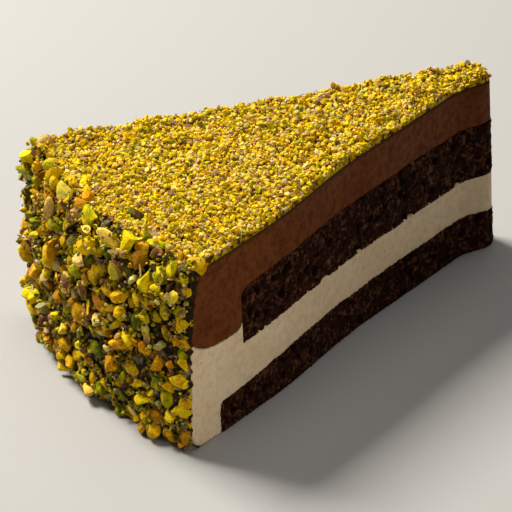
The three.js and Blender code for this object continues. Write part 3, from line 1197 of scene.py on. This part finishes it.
@dataclass
class BitModeller:
    """Models the bits that the crumb and the coat are made of."""

    seed: int = 7
    kernel: Triple = (1.0, 0.66, 0.6)
    chunk: Triple = (1.0, 0.86, 0.8)
    grain: Triple = (1.0, 0.8, 0.65)
    flake: Triple = (1.0, 0.55, 1.0)
    rough: float = 0.07
    grain_rough: float = 0.2
    half_cut: float = 0.02
    slice_cut: float = 0.12
    slice_lean: float = 0.2
    sliver_lean: float = 0.25
    chunk_cut: Span = (0.08, 0.3)
    bevel: float = 0.03
    curl: Span = (0.5, 1.2)
    thickness: float = 0.07
    rng: np.random.Generator = field(init=False)

    def __post_init__(self) -> None:
        """Starts the random draws."""
        self.rng = np.random.default_rng(self.seed)

    def _begin(self, size: Triple, rough: float) -> Piece:
        """Sizes the primitive that was just added and roughens it.

        Args:
            size: Its size along the three axes, against the primitive's.
            rough: How far a point moves.

        Returns:
            The bit, in edit mode.
        """
        piece = Bench.begin("bit")
        bpy.ops.transform.resize(value=size)
        bpy.ops.transform.vertex_random(offset=rough, seed=int(self.rng.integers(1, 999)))
        return piece

    def _planes(self, shape: BitShape) -> list[tuple[Vector, Vector]]:
        """Draws the knife cuts that leave a bit of this shape from a whole kernel.

        Args:
            shape: How it is cut.

        Returns:
            A point and an outward normal for each cut.
        """
        if shape is BitShape.HALF:
            return [(UP * -self.half_cut, Vector((0.05, 0.05, -1)).normalized())]
        if shape is BitShape.SLICE:
            lean = Vector(self.rng.uniform(-self.slice_lean, self.slice_lean, 3))
            across = (Vector((1, 0, 0)) + lean).normalized()
            return [(across * self.slice_cut, across), (across * -self.slice_cut, -across)]
        if shape is BitShape.SLIVER:
            lean = Vector(self.rng.uniform(-self.sliver_lean, self.sliver_lean, 3))
            side = (Vector((0, -1, 0.15)) + lean).normalized()
            return [(UP * -self.half_cut, (lean - UP).normalized()), (Vector((0, 0.04, 0)), side)]
        planes = []
        for _ in range(self.rng.integers(3, 6)):
            normal = Vector(self.rng.normal(size=3)).normalized()
            planes.append((normal * self.rng.uniform(*self.chunk_cut), normal))
        return planes

    def _kernel(self, shape: BitShape) -> list[Vector]:
        """Models a kernel and cuts it.

        Args:
            shape: How it is cut.

        Returns:
            The normals of the cuts.
        """
        small = shape is BitShape.SMALL_CHUNK
        bpy.ops.mesh.primitive_ico_sphere_add(subdivisions=1 if small else 2, radius=0.5)
        self._begin(self.chunk if small or shape is BitShape.CHUNK else self.kernel, self.rough)
        planes = self._planes(shape)
        for point, normal in planes:
            Bench.cut(point, normal)
        Bench.end()
        limit = {"limit_method": "ANGLE", "angle_limit": 0.9 if small else 0.6}
        Bench.apply(bpy.context.object, "BEVEL", width=self.bevel, segments=1, **limit)
        return [normal for _, normal in planes]

    def _grain(self) -> None:
        """Models a small angular crumb."""
        bpy.ops.mesh.primitive_ico_sphere_add(subdivisions=1, radius=0.5)
        self._begin(self.grain, self.grain_rough)
        Bench.end()

    def _flake(self) -> None:
        """Models a thin curled piece of skin."""
        bpy.ops.mesh.primitive_grid_add(x_subdivisions=4, y_subdivisions=2, size=1.0)
        piece = self._begin(self.flake, self.rough)
        Bench.end()
        curl = self.rng.uniform(*self.curl)
        for vertex in piece.data.vertices:
            vertex.co.z -= curl * (vertex.co.x**2 + 0.5 * vertex.co.y**2)
        Bench.apply(piece, "SOLIDIFY", thickness=self.thickness, offset=0.0)

    def model(self, shape: BitShape) -> Bit:
        """Models one bit and takes it apart.

        Args:
            shape: How it was cut.

        Returns:
            The bit as arrays, with natural at 1 on the kernel's own surface and 0 on the cuts.
        """
        Bench.clear()
        makers = {BitShape.GRAIN: self._grain, BitShape.FLAKE: self._flake}
        cuts = (makers[shape]() if shape in makers else self._kernel(shape)) or []
        piece = bpy.context.object
        mesh = piece.data
        points = np.array([vertex.co for vertex in mesh.vertices])
        if shape is BitShape.SLICE:
            points = points[:, [1, 2, 0]]
        points -= (points.min(0) + points.max(0)) / 2
        points /= np.ptp(points, axis=0).max()
        corners = np.array([loop.vertex_index for loop in mesh.loops])
        totals = np.array([polygon.loop_total for polygon in mesh.polygons])
        own = [not any(polygon.normal.dot(cut) > 0.88 for cut in cuts) for polygon in mesh.polygons]
        bpy.data.objects.remove(piece)
        return Bit(points, corners, totals, np.repeat(np.array(own, float), totals))

    def model_all(self, shape: BitShape, count: int) -> list[Bit]:
        """Models several bits of one shape."""
        return [self.model(shape) for _ in range(count)]


@dataclass
class Pile:
    """Copies of a few bits, each turned, sized and tinted, joined in one mesh."""

    name: str
    bits: list[Bit]
    copies: list[tuple[np.ndarray, np.ndarray, Triple, float]] = field(default_factory=list)

    def add(self, turn: np.ndarray, place: np.ndarray, tint: Triple, husk: float) -> None:
        """Adds a copy, with its pick, shade and paleness and the share of its own surface under skin."""
        self.copies.append((turn, place, tint, husk))

    def join(self) -> Piece:
        """Joins the copies, none of them below the base.

        Returns:
            The joined piece, with its tint and husk attributes.
        """
        turns, places, tints, husks = (np.array(part) for part in zip(*self.copies))
        tints = np.c_[tints, np.ones(len(places))]
        parts = []
        base = 0
        for number, bit in enumerate(self.bits):
            mine = np.arange(number, len(places), len(self.bits))
            points = np.einsum("nij,vj->nvi", turns[mine], bit.points) + places[mine, None]
            points[..., 2] += np.maximum(0, -points[..., 2].min(1))[:, None]
            steps = base + np.arange(len(mine))[:, None] * len(bit.points)
            parts.append((
                points.reshape(-1, 3),
                (bit.corners + steps).ravel(),
                np.tile(bit.totals, len(mine)),
                np.repeat(tints[mine], len(bit.corners), axis=0),
                (husks[mine, None] * bit.natural).ravel(),
            ))
            base += len(mine) * len(bit.points)
        return self._mesh(*(np.concatenate(part) for part in zip(*parts)))

    def _mesh(self, points: np.ndarray, corners: np.ndarray, totals: np.ndarray,
              tints: np.ndarray, husks: np.ndarray) -> Piece:
        """Makes the joined mesh from its arrays.

        Args:
            points: The places of its points.
            corners: The point at each face corner.
            totals: The number of corners of each face.
            tints: The tint at each corner.
            husks: The husk at each corner.

        Returns:
            The joined piece.
        """
        mesh = bpy.data.meshes.new(self.name)
        mesh.vertices.add(len(points))
        mesh.vertices.foreach_set("co", points.ravel())
        mesh.loops.add(len(corners))
        mesh.loops.foreach_set("vertex_index", corners)
        mesh.polygons.add(len(totals))
        mesh.polygons.foreach_set("loop_start", np.cumsum(totals) - totals)
        mesh.update(calc_edges=True)
        mesh.attributes.new("tint", "FLOAT_COLOR", "CORNER").data.foreach_set("color", tints.ravel())
        mesh.attributes.new("husk", "FLOAT", "CORNER").data.foreach_set("value", husks)
        piece = bpy.data.objects.new(self.name, mesh)
        bpy.context.collection.objects.link(piece)
        Bench.clear()
        piece.select_set(True)
        bpy.context.view_layer.objects.active = piece
        bpy.ops.object.shade_smooth_by_angle(angle=math.radians(42))
        return piece


def frame_on(rng: np.random.Generator, normal: np.ndarray, tilt: float, sizes: np.ndarray) -> np.ndarray:
    """Draws a turn that lays a bit's flat side on a surface.

    Args:
        rng: The random draws.
        normal: The surface's normal.
        tilt: The usual lean off the surface, in radians.
        sizes: The bit's size along its own three axes.

    Returns:
        The matrix that sizes and turns the bit.
    """
    lean = normal + rng.normal(size=3) * math.tan(tilt)
    up = lean / np.linalg.norm(lean)
    side = np.cross(up, rng.normal(size=3))
    side /= np.linalg.norm(side)
    return np.column_stack([side, np.cross(up, side), up]) * sizes


# ---- Crumb on the top ----


@dataclass
class CrumbTop:
    """Finely ground pistachio: a bed with a grainy relief, and loose grains lying on it.

    The sizes of grains are in millimetres, and everything else is as usual in metres.
    """

    cake: CakeForm
    low: float
    edge: float = 121.5 * MM
    overhang: float = 1 * MM
    bed_rise: float = 1.35 * MM
    bed_recess: float = 0.2 * MM
    bed_sunk: float = 0.3 * MM
    lumps: Lumps = Lumps(size=0.95 * MM, warp=(1.5 * MM, 0.5 * MM), top=0.42 * MM, gap=-0.12 * MM)
    grid: float = 0.45 * MM
    lift: float = 0.1 * MM
    jitter: float = 0.45
    pitch: float = 0.84 * MM
    inset: float = 0.1 * MM
    grain: float = 0.96
    grain_spread: float = 0.38
    largest: float = 2.0
    large_pitch: float = 2.1 * MM
    large_inset: float = 0.3 * MM
    large_grain: Span = (1.2, 1.9)
    patch: float = 1.3 * MM
    shadow_patch: float = 3 * MM
    pick: Span = (4.5, 4.8)
    greenest: float = 0.82
    large_pick: Span = (4.0, 4.0)
    large_greenest: float = 0.84
    shade: Span = (0.74, 0.92)
    large_shade: Span = (0.78, 0.96)
    speck: Triple = (1.1, 0.9, 0.8)
    speck_pick: float = 0.2
    speck_shade: Span = (0.75, 1.4)
    speck_dust: Span = (0.25, 1.0)
    skin_share: float = 0.19
    heap: float = 8 * MM
    heap_rise: float = 1.6 * MM
    seed: int = 21

    def heaped(self, points: np.ndarray) -> np.ndarray:
        """Lifts points to where the meal lies in low heaps, and leaves those under it where they are.

        Args:
            points: Their places on level meal.

        Returns:
            Their new places.
        """
        places = [Vector((x, y, 0)) / self.heap for x, y in points[:, :2].tolist()]
        heaps = np.array([noise.noise(place) + 0.6 * noise.noise(place * 2.6) for place in places])
        lifted = points.copy()
        share = np.clip((points[:, 2] - self.low) / self.bed_rise, 0, 1)
        lifted[:, 2] += self.heap_rise * heaps * share
        return lifted

    def bed_relief(self, skin: Skin) -> Socket:
        """Raises rounded grains on the bed, and breaks its cut sides into lumps."""
        return skin.outward(skin.graph.lumps(skin.place, self.lumps), (-0.5, 0.2))

    def build_bed(self, material: Material) -> None:
        """Models the bed that the loose grains lie on.

        Args:
            material: Its finish.
        """
        bottom = self.low - self.bed_sunk
        top = self.low + self.bed_rise
        outline = [(0, bottom), (self.edge, bottom), (self.edge, top), (0, top)]
        piece = self.cake.mould("crumb_bed", outline, self.grid, -self.bed_recess)
        reshape(piece, self.bed_relief)
        move_points(piece, self.heaped)
        move_points(piece, self.cake.hollowed)
        Bench.dress(piece, material, CRUMB_SLOT, "pistachio_crumb")

    def _spots(self, rng: np.random.Generator, pitch: float, inset: float) -> np.ndarray:
        """Draws jittered places all over the top.

        Args:
            rng: The random draws.
            pitch: The distance between places.
            inset: How far they stay inside the cuts.

        Returns:
            The places, on the bed's surface.
        """
        reach = self.edge + self.overhang
        axis_x, axis_y = self.cake.axis
        half_width = reach * math.tan(self.cake.half_angle)
        x = np.arange(-half_width, half_width, pitch)
        y = np.arange(axis_y - reach, self.cake.tip_y + pitch, pitch * math.sqrt(3) / 2)
        across, along = np.meshgrid(x, y)
        across[::2] += pitch / 2
        surface = np.full(across.size, self.low + self.bed_rise + self.lift)
        points = np.stack([across.ravel(), along.ravel(), surface], axis=1)
        points[:, :2] += rng.uniform(-self.jitter, self.jitter, (len(points), 2)) * pitch
        radius = np.hypot(points[:, 0] - axis_x, points[:, 1] - axis_y)
        inside = points[(self.cake.depth(points) > inset) & (radius < reach)]
        return self.cake.hollowed(self.heaped(inside))

    def build_grains(self, bits: list[Bit], flakes: list[Bit], finishes: NutFinishes) -> None:
        """Scatters the loose grains and the specks of skin.

        Args:
            bits: The modelled grains.
            flakes: The modelled bits of skin.
            finishes: What they are dressed in.
        """
        rng = np.random.default_rng(self.seed)
        fine = Pile("crumb_grains", bits)
        specks = Pile("crumb_skin_specks", flakes)
        mixed = Pile("crumb_large_grains", bits)
        up = np.array(UP)
        for spot in self._spots(rng, self.pitch, self.inset):
            size = min(rng.lognormal(math.log(self.grain), self.grain_spread), self.largest) * MM
            spot[2] += rng.uniform(-0.15, 0.4) * size
            patch = patchy(spot, self.patch)
            pale = max(0.0, rng.normal(-0.1, 0.26) + 0.8 * patch)
            shade = rng.uniform(*self.shade) * (1 + 0.3 * patchy(spot, self.shadow_patch))
            tint = (rng.beta(*self.pick) * self.greenest, shade, pale)
            if rng.random() < self.skin_share + 0.3 * patch:
                sizes = size * np.array(self.speck)
                tint = (self.speck_pick, rng.uniform(*self.speck_shade), rng.uniform(*self.speck_dust))
                specks.add(frame_on(rng, up, 0.5, sizes), spot + up * self.lift, tint, 1.0)
            else:
                sizes = size * rng.uniform(0.75, 1.15, 3)
                fine.add(frame_on(rng, up, 0.9, sizes), spot, tint, 0.0)
        for spot in self._spots(rng, self.large_pitch, self.large_inset):
            size = rng.uniform(*self.large_grain) * MM
            spot[2] += 0.32 * size
            pick = rng.beta(*self.large_pick) * self.large_greenest
            tint = (pick, rng.uniform(*self.large_shade), max(0.0, rng.normal(0.05, 0.25)))
            mixed.add(frame_on(rng, up, 0.7, size * rng.uniform(0.7, 1.05, 3)), spot, tint, 0.0)
        for pile, finish in ((fine, finishes.grain), (mixed, finishes.grain), (specks, finishes.skin)):
            Bench.dress(pile.join(), finish, CRUMB_SLOT)


# ---- Chopped nuts on the outer side ----


@dataclass(frozen=True)
class NutKind:
    """One kind of chopped pistachio in the coat, with the range that each copy is drawn from.

    Length is in millimetres, and width and thickness are shares of it. Spacing is a share of the room
    that two nuts side by side would need. Rise is how far up the coat's depth a nut stands, and tilt
    its usual lean in radians. Nuts that lie under the others keep clear only of each other.
    """

    name: str
    shape: BitShape
    variants: int
    tries: int
    length: Span
    width: Span
    thickness: Span
    pick: Span
    pale: Span
    husk: Span
    spacing: float
    rise: Span
    shade: Span = (0.75, 1.08)
    tilt: float = 0.7
    under: bool = False


@dataclass
class NutCoat:
    """Chopped pistachio over the outer side and the top edge, on a bed darkened as painted shade. Nuts in
    the hollows get painted shade and nuts on the heaps painted light.

    The size of the grit is in millimetres, and everything else is as usual in metres.
    """

    cake: CakeForm
    radius: float = 128.8 * MM
    draft: float = 1 * MM
    top: float = 51.2 * MM
    corner: float = 4.5 * MM
    lip: float = 8 * MM
    lip_fade: float = 2 * MM
    heap: float = 7 * MM
    heap_rise: float = 2.6 * MM
    # Painted light and shade: how much a nut is lightened per metre that it stands out, and darkened where
    # it sits low.
    painted_hollow_shade: float = 0.3 / MM
    lightest: float = 1.08
    patch: float = 9 * MM
    patch_pick: float = 0.45
    pick: Span = (0.85, 1.45)
    room: float = 0.42
    past_cut: float = math.radians(4)
    lowest: float = 0.5 * MM
    inset_share: float = 0.32
    sunk_share: float = 0.2
    grid: float = 0.5 * MM
    bed_depth: float = 0.7 * MM
    bed_share: float = 0.42
    bed_recess: float = 0.35 * MM
    bed_low: float = 0.3 * MM
    bed_over: float = 0.6 * MM
    bed_steps: int = 12
    lumps: Lumps = Lumps(size=1.7 * MM, warp=(2 * MM, 0.9 * MM), top=0.6 * MM, gap=-0.3 * MM)
    rough: Span = (0.7 * MM, 0.4 * MM)
    grit_count: int = 3400
    grit: float = 1.15
    grit_spread: float = 0.28
    grit_pick: Span = (1.6, 1.4)
    # Random tone, and painted shade: the grit in the gaps is drawn darker than the nuts.
    grit_tone_and_painted_shade: Span = (0.35, 0.9)
    grit_tilt: float = 0.9
    grit_inset: float = 0.5 * MM
    seed: int = 43
    kinds: tuple[NutKind, ...] = (
        NutKind("nut_halves", BitShape.HALF, 4, 6, (6.2, 8.4), (0.6, 0.75), (0.34, 0.45),
                (0.1, 0.5), (-0.4, 0.3), (-0.2, 0.4), 0.95, (0.8, 1.0), tilt=0.4),
        NutKind("nut_large_chunks", BitShape.CHUNK, 14, 560, (4.8, 8.4), (0.6, 0.95), (0.55, 0.85),
                (0.02, 0.92), (-1.5, 0.35), (-0.4, 0.6), 0.78, (0.5, 1.0)),
        NutKind("nut_chunks", BitShape.CHUNK, 18, 2400, (2.8, 5.6), (0.6, 1.0), (0.55, 0.95),
                (0.02, 0.92), (-1.4, 0.5), (-0.3, 0.7), 0.74, (0.35, 1.0)),
        NutKind("nut_slices", BitShape.SLICE, 6, 160, (3.2, 5.4), (0.8, 1.0), (0.9, 1.0),
                (0.1, 0.8), (-0.8, 0.3), (0.6, 1.0), 0.75, (0.6, 1.0), tilt=0.9),
        NutKind("nut_slivers", BitShape.SLIVER, 8, 500, (2.8, 6.2), (0.4, 0.7), (0.4, 0.6),
                (0.15, 0.95), (-0.9, 0.8), (-0.2, 0.7), 0.6, (0.5, 1.05), tilt=0.9),
        NutKind("nut_skin_flakes", BitShape.FLAKE, 6, 560, (1.6, 3.6), (0.7, 1.0), (0.8, 1.2),
                (0.1, 0.5), (0.0, 0.8), (1.0, 1.0), 0.5, (0.5, 1.05), (0.35, 1.7), tilt=1.0),
        # The small chunks lie under the others, and their low shade range is painted shade in the gaps.
        NutKind("nut_small_chunks", BitShape.SMALL_CHUNK, 8, 1300, (1.5, 2.8), (0.6, 1.0), (0.5, 0.9),
                (0.0, 1.0), (-0.8, 0.5), (0.0, 0.9), 0.78, (-0.1, 0.6), (0.25, 0.75), under=True),
    )

    @property
    def wall_height(self) -> float:
        """The height where the coat starts to turn in over the top edge."""
        return self.top - self.corner

    @property
    def quarter(self) -> float:
        """The way round the top edge."""
        return self.corner * math.pi / 2

    def outer_radius(self, height: float) -> float:
        """The radius of the coat's outside at a height."""
        share = min(height / self.wall_height, 1.0)
        return self.radius - self.draft * share**2 - self.cake.foot_inset(height)

    def on_coat(self, angle: float, along: float) -> tuple[np.ndarray, np.ndarray, float]:
        """Finds a place on the outside of the coat.

        Args:
            angle: The angle round the axis, from straight out.
            along: The way up the wall, and past its top edge the way in over the top.

        Returns:
            The place, the surface's normal, and the depth of the nuts there.
        """
        lean = min(max((along - self.wall_height) / self.corner, 0.0), math.pi / 2)
        height = min(along, self.wall_height) + self.corner * math.sin(lean)
        inward = self.corner * (1 - math.cos(lean)) + max(0.0, along - self.wall_height - self.quarter)
        radius = self.outer_radius(min(along, self.wall_height)) - inward
        outward = np.array([math.sin(angle), -math.cos(angle), 0.0])
        place = np.array([*self.cake.axis, height]) + outward * radius
        normal = outward * math.cos(lean) + np.array([0, 0, math.sin(lean)])
        on_wall = self.outer_radius(height) - self.cake.wall_radius(height) + self.cake.foot_inset(height)
        share = math.sin(lean) ** 2
        return place, normal, on_wall * (1 - share) + (self.top - self.cake.body_top) * share

    def heaped(self, place: np.ndarray) -> float:
        """How far the nuts stand out from the coat's even outside at a place."""
        return self.heap_rise * (patchy(place, self.heap) + 0.5 * patchy(place, 0.45 * self.heap))

    def bed_relief(self, skin: Skin) -> Socket:
        """Raises lumps on the bed and roughens them."""
        graph, place = skin.graph, skin.place
        return skin.outward(graph.add(graph.lumps(place, self.lumps), graph.swell(place, *self.rough)))

    def build_bed(self, material: Material) -> None:
        """Models the bed of fine bits and crumbs that is pressed into the wall.

        Args:
            material: Its finish.
        """
        steps = np.linspace(self.bed_low, self.cake.body_top + self.bed_over, self.bed_steps).tolist()
        walls = [self.cake.wall_radius(z) - self.cake.foot_inset(z) for z in steps]
        inner = [(wall - self.bed_depth, z) for wall, z in zip(walls, steps)]
        outer = [(wall + self.bed_share * (self.outer_radius(z) - wall), z) for wall, z in zip(walls, steps)]
        outline = [*outer, *reversed(inner), outer[0]]
        piece = self.cake.mould("nut_bed", outline, self.grid, -self.bed_recess, 160)
        reshape(piece, self.bed_relief)
        move_points(piece, self.cake.hollowed)
        Bench.dress(piece, material, COAT_SLOT, "pistachio_coat")

    def _draw_spot(self, rng: np.random.Generator, inset: float) -> np.ndarray:
        """Draws a place on the coat, with fewer and fewer in over the top.

        Args:
            rng: The random draws.
            inset: How far it stays inside the cuts.

        Returns:
            The way round, the way up and 0.
        """
        half = self.cake.half_angle + self.past_cut
        lip_start = self.wall_height + self.quarter
        while True:
            angle = rng.uniform(-half, half)
            along = rng.uniform(self.lowest, lip_start + self.lip)
            if along > lip_start and rng.random() > math.exp((lip_start - along) / self.lip_fade):
                continue
            if self.cake.depth(self.on_coat(angle, along)[0]) > inset:
                return np.array([angle * self.radius, along, 0.0])

    def _thrown(self, rng: np.random.Generator, kind: NutKind,
                taken: list[np.ndarray]) -> Iterator[tuple[np.ndarray, float]]:
        """Throws nuts of one kind at the coat and keeps those that find room.

        Args:
            rng: The random draws.
            kind: The kind of nut.
            taken: The nuts that lie there already, as rows of spot and radius. Kept nuts are added.

        Yields:
            Each kept nut's spot and length.
        """
        low, high = (length * MM for length in kind.length)
        for _ in range(kind.tries):
            spot = self._draw_spot(rng, self.inset_share * low)
            radius = rng.triangular(low, (low + low + high) / 3, high) * self.room
            rows = np.array(taken).reshape(-1, 4)
            near = np.linalg.norm(rows[:, :3] - spot, axis=1) < kind.spacing * (rows[:, 3] + radius)
            if not near.any():
                taken.append(np.array([*spot, radius]))
                yield spot, radius / self.room

    def build_nuts(self, modeller: BitModeller, finishes: NutFinishes) -> None:
        """Throws each kind of chopped nut at the coat, the largest first.

        Args:
            modeller: Models the nuts.
            finishes: What they are dressed in.
        """
        rng = np.random.default_rng(self.seed)
        taken: dict[bool, list[np.ndarray]] = {True: [], False: []}
        for kind in self.kinds:
            pile = Pile(kind.name, modeller.model_all(kind.shape, kind.variants))
            for spot, size in self._thrown(rng, kind, taken[kind.under]):
                sizes = size * np.array([1.0, rng.uniform(*kind.width), rng.uniform(*kind.thickness)])
                place, normal, room = self.on_coat(spot[0] / self.radius, spot[1])
                sunk = (1 - rng.uniform(*kind.rise)) * room + self.sunk_share * size * kind.thickness[0]
                sunk -= 0.0 if kind.under else self.heaped(place)
                greener = self.patch_pick * patchy(place, self.patch)
                pick = kind.pick[0] + (kind.pick[1] - kind.pick[0]) * rng.beta(*self.pick) + greener
                # Painted light and shade: nuts on the heaps are lightened and nuts in the hollows darkened.
                shade = rng.uniform(*kind.shade) * (1 + self.painted_hollow_shade * self.heaped(place))
                pale = max(0.0, rng.uniform(*kind.pale))
                turn = frame_on(rng, normal, kind.tilt, sizes)
                tint = (min(max(pick, 0.0), 1.0), min(shade, self.lightest), pale)
                pile.add(turn, place - normal * sunk, tint, rng.uniform(*kind.husk))
            finish = finishes.skin if kind.shape is BitShape.FLAKE else finishes.kernel
            Bench.dress(pile.join(), finish, COAT_SLOT)

    def build_grit(self, bits: list[Bit], finishes: NutFinishes) -> None:
        """Fills the gaps between the nuts with small bits.

        Args:
            bits: The modelled grains.
            finishes: What they are dressed in.
        """
        rng = np.random.default_rng(self.seed + 1)
        pile = Pile("nut_grit", bits)
        for _ in range(self.grit_count):
            spot = self._draw_spot(rng, self.grit_inset)
            place, normal, room = self.on_coat(spot[0] / self.radius, spot[1])
            size = rng.lognormal(math.log(self.grit), self.grit_spread) * MM
            pick, shade = rng.beta(*self.grit_pick), rng.uniform(*self.grit_tone_and_painted_shade)
            tint = (pick, shade, max(0.0, rng.normal(-0.05, 0.35)))
            turn = frame_on(rng, normal, self.grit_tilt, size * rng.uniform(0.65, 1.1, 3))
            sunk = rng.uniform(0.0, 0.9) * room - self.heaped(place)
            pile.add(turn, place - normal * sunk, tint, 0.0)
        Bench.dress(pile.join(), finishes.grain, COAT_SLOT)


# ---- Studio ----


def towards(azimuth: float, elevation: float) -> Vector:
    """The direction to a place round the slice, by degrees from -Y by way of +X and degrees up."""
    a, e = math.radians(azimuth), math.radians(elevation)
    return Vector((math.sin(a) * math.cos(e), -math.cos(a) * math.cos(e), math.sin(e)))


@dataclass(frozen=True)
class SoftLight:
    """One square soft box."""

    name: str
    azimuth: float
    elevation: float
    distance: float
    size: float
    power: float
    color: Color
    spread: float = 180.0
    aim: Triple = (0.0, 0.0, 0.0)

    def build(self, target: Vector) -> None:
        """Hangs the light and points it at the slice.

        Args:
            target: The middle of the slice.
        """
        back = towards(self.azimuth, self.elevation)
        data = bpy.data.lights.new(self.name, "AREA")
        data.energy = self.power
        data.size = self.size
        data.color = self.color
        data.spread = math.radians(self.spread)
        lamp = bpy.data.objects.new(self.name, data)
        lamp.location = target + Vector(self.aim) + back * self.distance
        lamp.rotation_mode = "QUATERNION"
        lamp.rotation_quaternion = (-back).to_track_quat("-Z", "Y")
        bpy.context.collection.objects.link(lamp)


@dataclass
class Studio:
    """The pale floor, the soft lights and the camera."""

    azimuth: float = 56.85
    elevation: float = 29.68
    distance: float = 1.191
    roll: float = 2.35
    margin: float = 1.08
    sensor: float = 36.0
    floor_radius: float = 4.0
    floor_color: Color = (0.33, 0.327, 0.32)
    world_color: Color = (1.0, 0.98, 0.96)
    world_light: float = 0.05
    lights: tuple[SoftLight, ...] = (
        SoftLight("key_light", 287, 48, 1.2, 0.45, 35.0, (1.0, 0.95, 0.87)),
        SoftLight("top_light", 200, 75, 1.2, 0.9, 5.0, (1.0, 0.97, 0.93)),
        SoftLight("fill_light", 88, 24, 0.4, 0.16, 0.036, (1.0, 0.95, 0.88), 36.0, (0.03, -0.065, 0.0)),
    )

    def build_floor(self, pantry: Pantry) -> None:
        """Lays the floor just under the slice.

        Args:
            pantry: The shared node groups.
        """
        Bench.clear()
        bpy.ops.mesh.primitive_circle_add(
            vertices=96, radius=self.floor_radius, fill_type="NGON", location=UP * -0.1 * MM)
        floor = bpy.context.object
        floor.name = "studio_floor"
        finish = Finish("studio_floor", Shine(roughness=0.7, specular=0.2), pantry)
        graph = finish.graph
        cloud = graph.noise(finish.place, 0.4)
        shade = graph.grey(graph.span(cloud, 0.0, 1.0, 0.97, 1.0))
        color = graph.blend(1.0, self.floor_color, shade, "MULTIPLY")
        floor.data.materials.append(finish.finish(color, cloud, 0.01 * MM))

    def build_world(self) -> None:
        """Surrounds the scene with a dim even light."""
        world = bpy.data.worlds.new("studio_world")
        world.use_nodes = True
        background = world.node_tree.nodes["Background"]
        background.inputs["Color"].default_value = (*self.world_color, 1.0)
        background.inputs["Strength"].default_value = self.world_light
        bpy.context.scene.world = world

    def build_camera(self, target: Vector) -> None:
        """Aims the camera at what it sees of the slice, and zooms until that fills the picture.

        Args:
            target: The middle of the slice.
        """
        back = towards(self.azimuth, self.elevation)
        eye = target + back * self.distance
        turn = (-back).to_track_quat("-Z", "Y") @ Quaternion(UP, -math.radians(self.roll))
        points = np.array([vertex.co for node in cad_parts.values() for vertex in node.data.vertices])
        seen = (points - eye) @ np.array(turn.to_matrix())
        slopes = seen[:, :2] / -seen[:, 2:]
        middle = (slopes.max(0) + slopes.min(0)) / 2
        half = np.ptp(slopes, axis=0).max() / 2
        data = bpy.data.cameras.new("camera")
        data.sensor_width = self.sensor
        data.lens = self.sensor / 2 / float(half * self.margin)
        data.clip_start = 0.05
        camera = bpy.data.objects.new("camera", data)
        camera.location = eye
        camera.rotation_mode = "QUATERNION"
        camera.rotation_quaternion = turn @ (-UP).rotation_difference(Vector((*middle.tolist(), -1)))
        bpy.context.collection.objects.link(camera)
        bpy.context.scene.camera = camera

    def build(self, pantry: Pantry) -> None:
        """Sets up the whole studio.

        Args:
            pantry: The shared node groups.
        """
        target = (CAD_BOX[0] + CAD_BOX[1]) / 2
        self.build_camera(target)
        self.build_floor(pantry)
        self.build_world()
        for light in self.lights:
            light.build(target)
        bpy.context.scene.view_settings.view_transform = "Standard"


# ---- The slice ----


CREAM = MousseFinish(
    name="cream_mousse",
    body=(0.69, 0.53, 0.335),
    light=(0.75, 0.60, 0.40),
    dark=(0.60, 0.44, 0.26),
    hole=(0.34, 0.23, 0.12),
    shine=Shine(roughness=0.55, specular=0.12, subsurface=0.2, depth=1.5 * MM, scatter=(1.0, 0.7, 0.4)),
)
CHOCOLATE = MousseFinish(
    name="chocolate_mousse",
    body=(0.120, 0.0300, 0.0048),
    light=(0.146, 0.042, 0.0070),
    dark=(0.066, 0.0145, 0.0010),
    hole=(0.04, 0.010, 0.002),
    shine=Shine(roughness=0.56, specular=0.06),
    painted_crumb_shadow=(0.060, 0.024, 0.004),
    painted_shadow_heights=(47.3 * MM, 48.4 * MM),
)


def main() -> None:
    """Builds the slice and its studio, and reports each piece."""
    logging.basicConfig(level=logging.INFO, format="%(name)s: %(message)s")
    cake = CakeForm(tip_y=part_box("base_sponge")[1].y, body_top=48.5 * MM)
    lines = LayerLines(cake, sponge_top=36.8 * MM)
    pantry = Pantry()
    Studio().build(pantry)

    sponge = SpongeFinish().build(pantry)
    for node, outline in (("base_sponge", lines.base_sponge()), ("middle_sponge", lines.middle_sponge())):
        SpongeLayer(f"{node}_crumb", node, "chocolate_sponge", cake, outline).build(sponge)
    for name, finish, outline in (("cream_layer", CREAM, lines.cream()),
                                  ("chocolate_layer", CHOCOLATE, lines.chocolate())):
        MousseLayer(name, finish.name, finish.name, cake, outline).build(finish.build(pantry))

    modeller = BitModeller()
    grains = modeller.model_all(BitShape.GRAIN, 8)
    flakes = modeller.model_all(BitShape.FLAKE, 4)
    nuts = NutFinishes.build(pantry)
    top = CrumbTop(cake, low=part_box("pistachio_crumb")[0].z)
    top.build_bed(MealFinish().build(pantry))
    top.build_grains(grains, flakes, nuts)

    coat = NutCoat(cake)
    coat.build_bed(BedFinish().build(pantry))
    coat.build_nuts(modeller, nuts)
    coat.build_grit(grains, nuts)


if __name__ == "__main__":
    main()
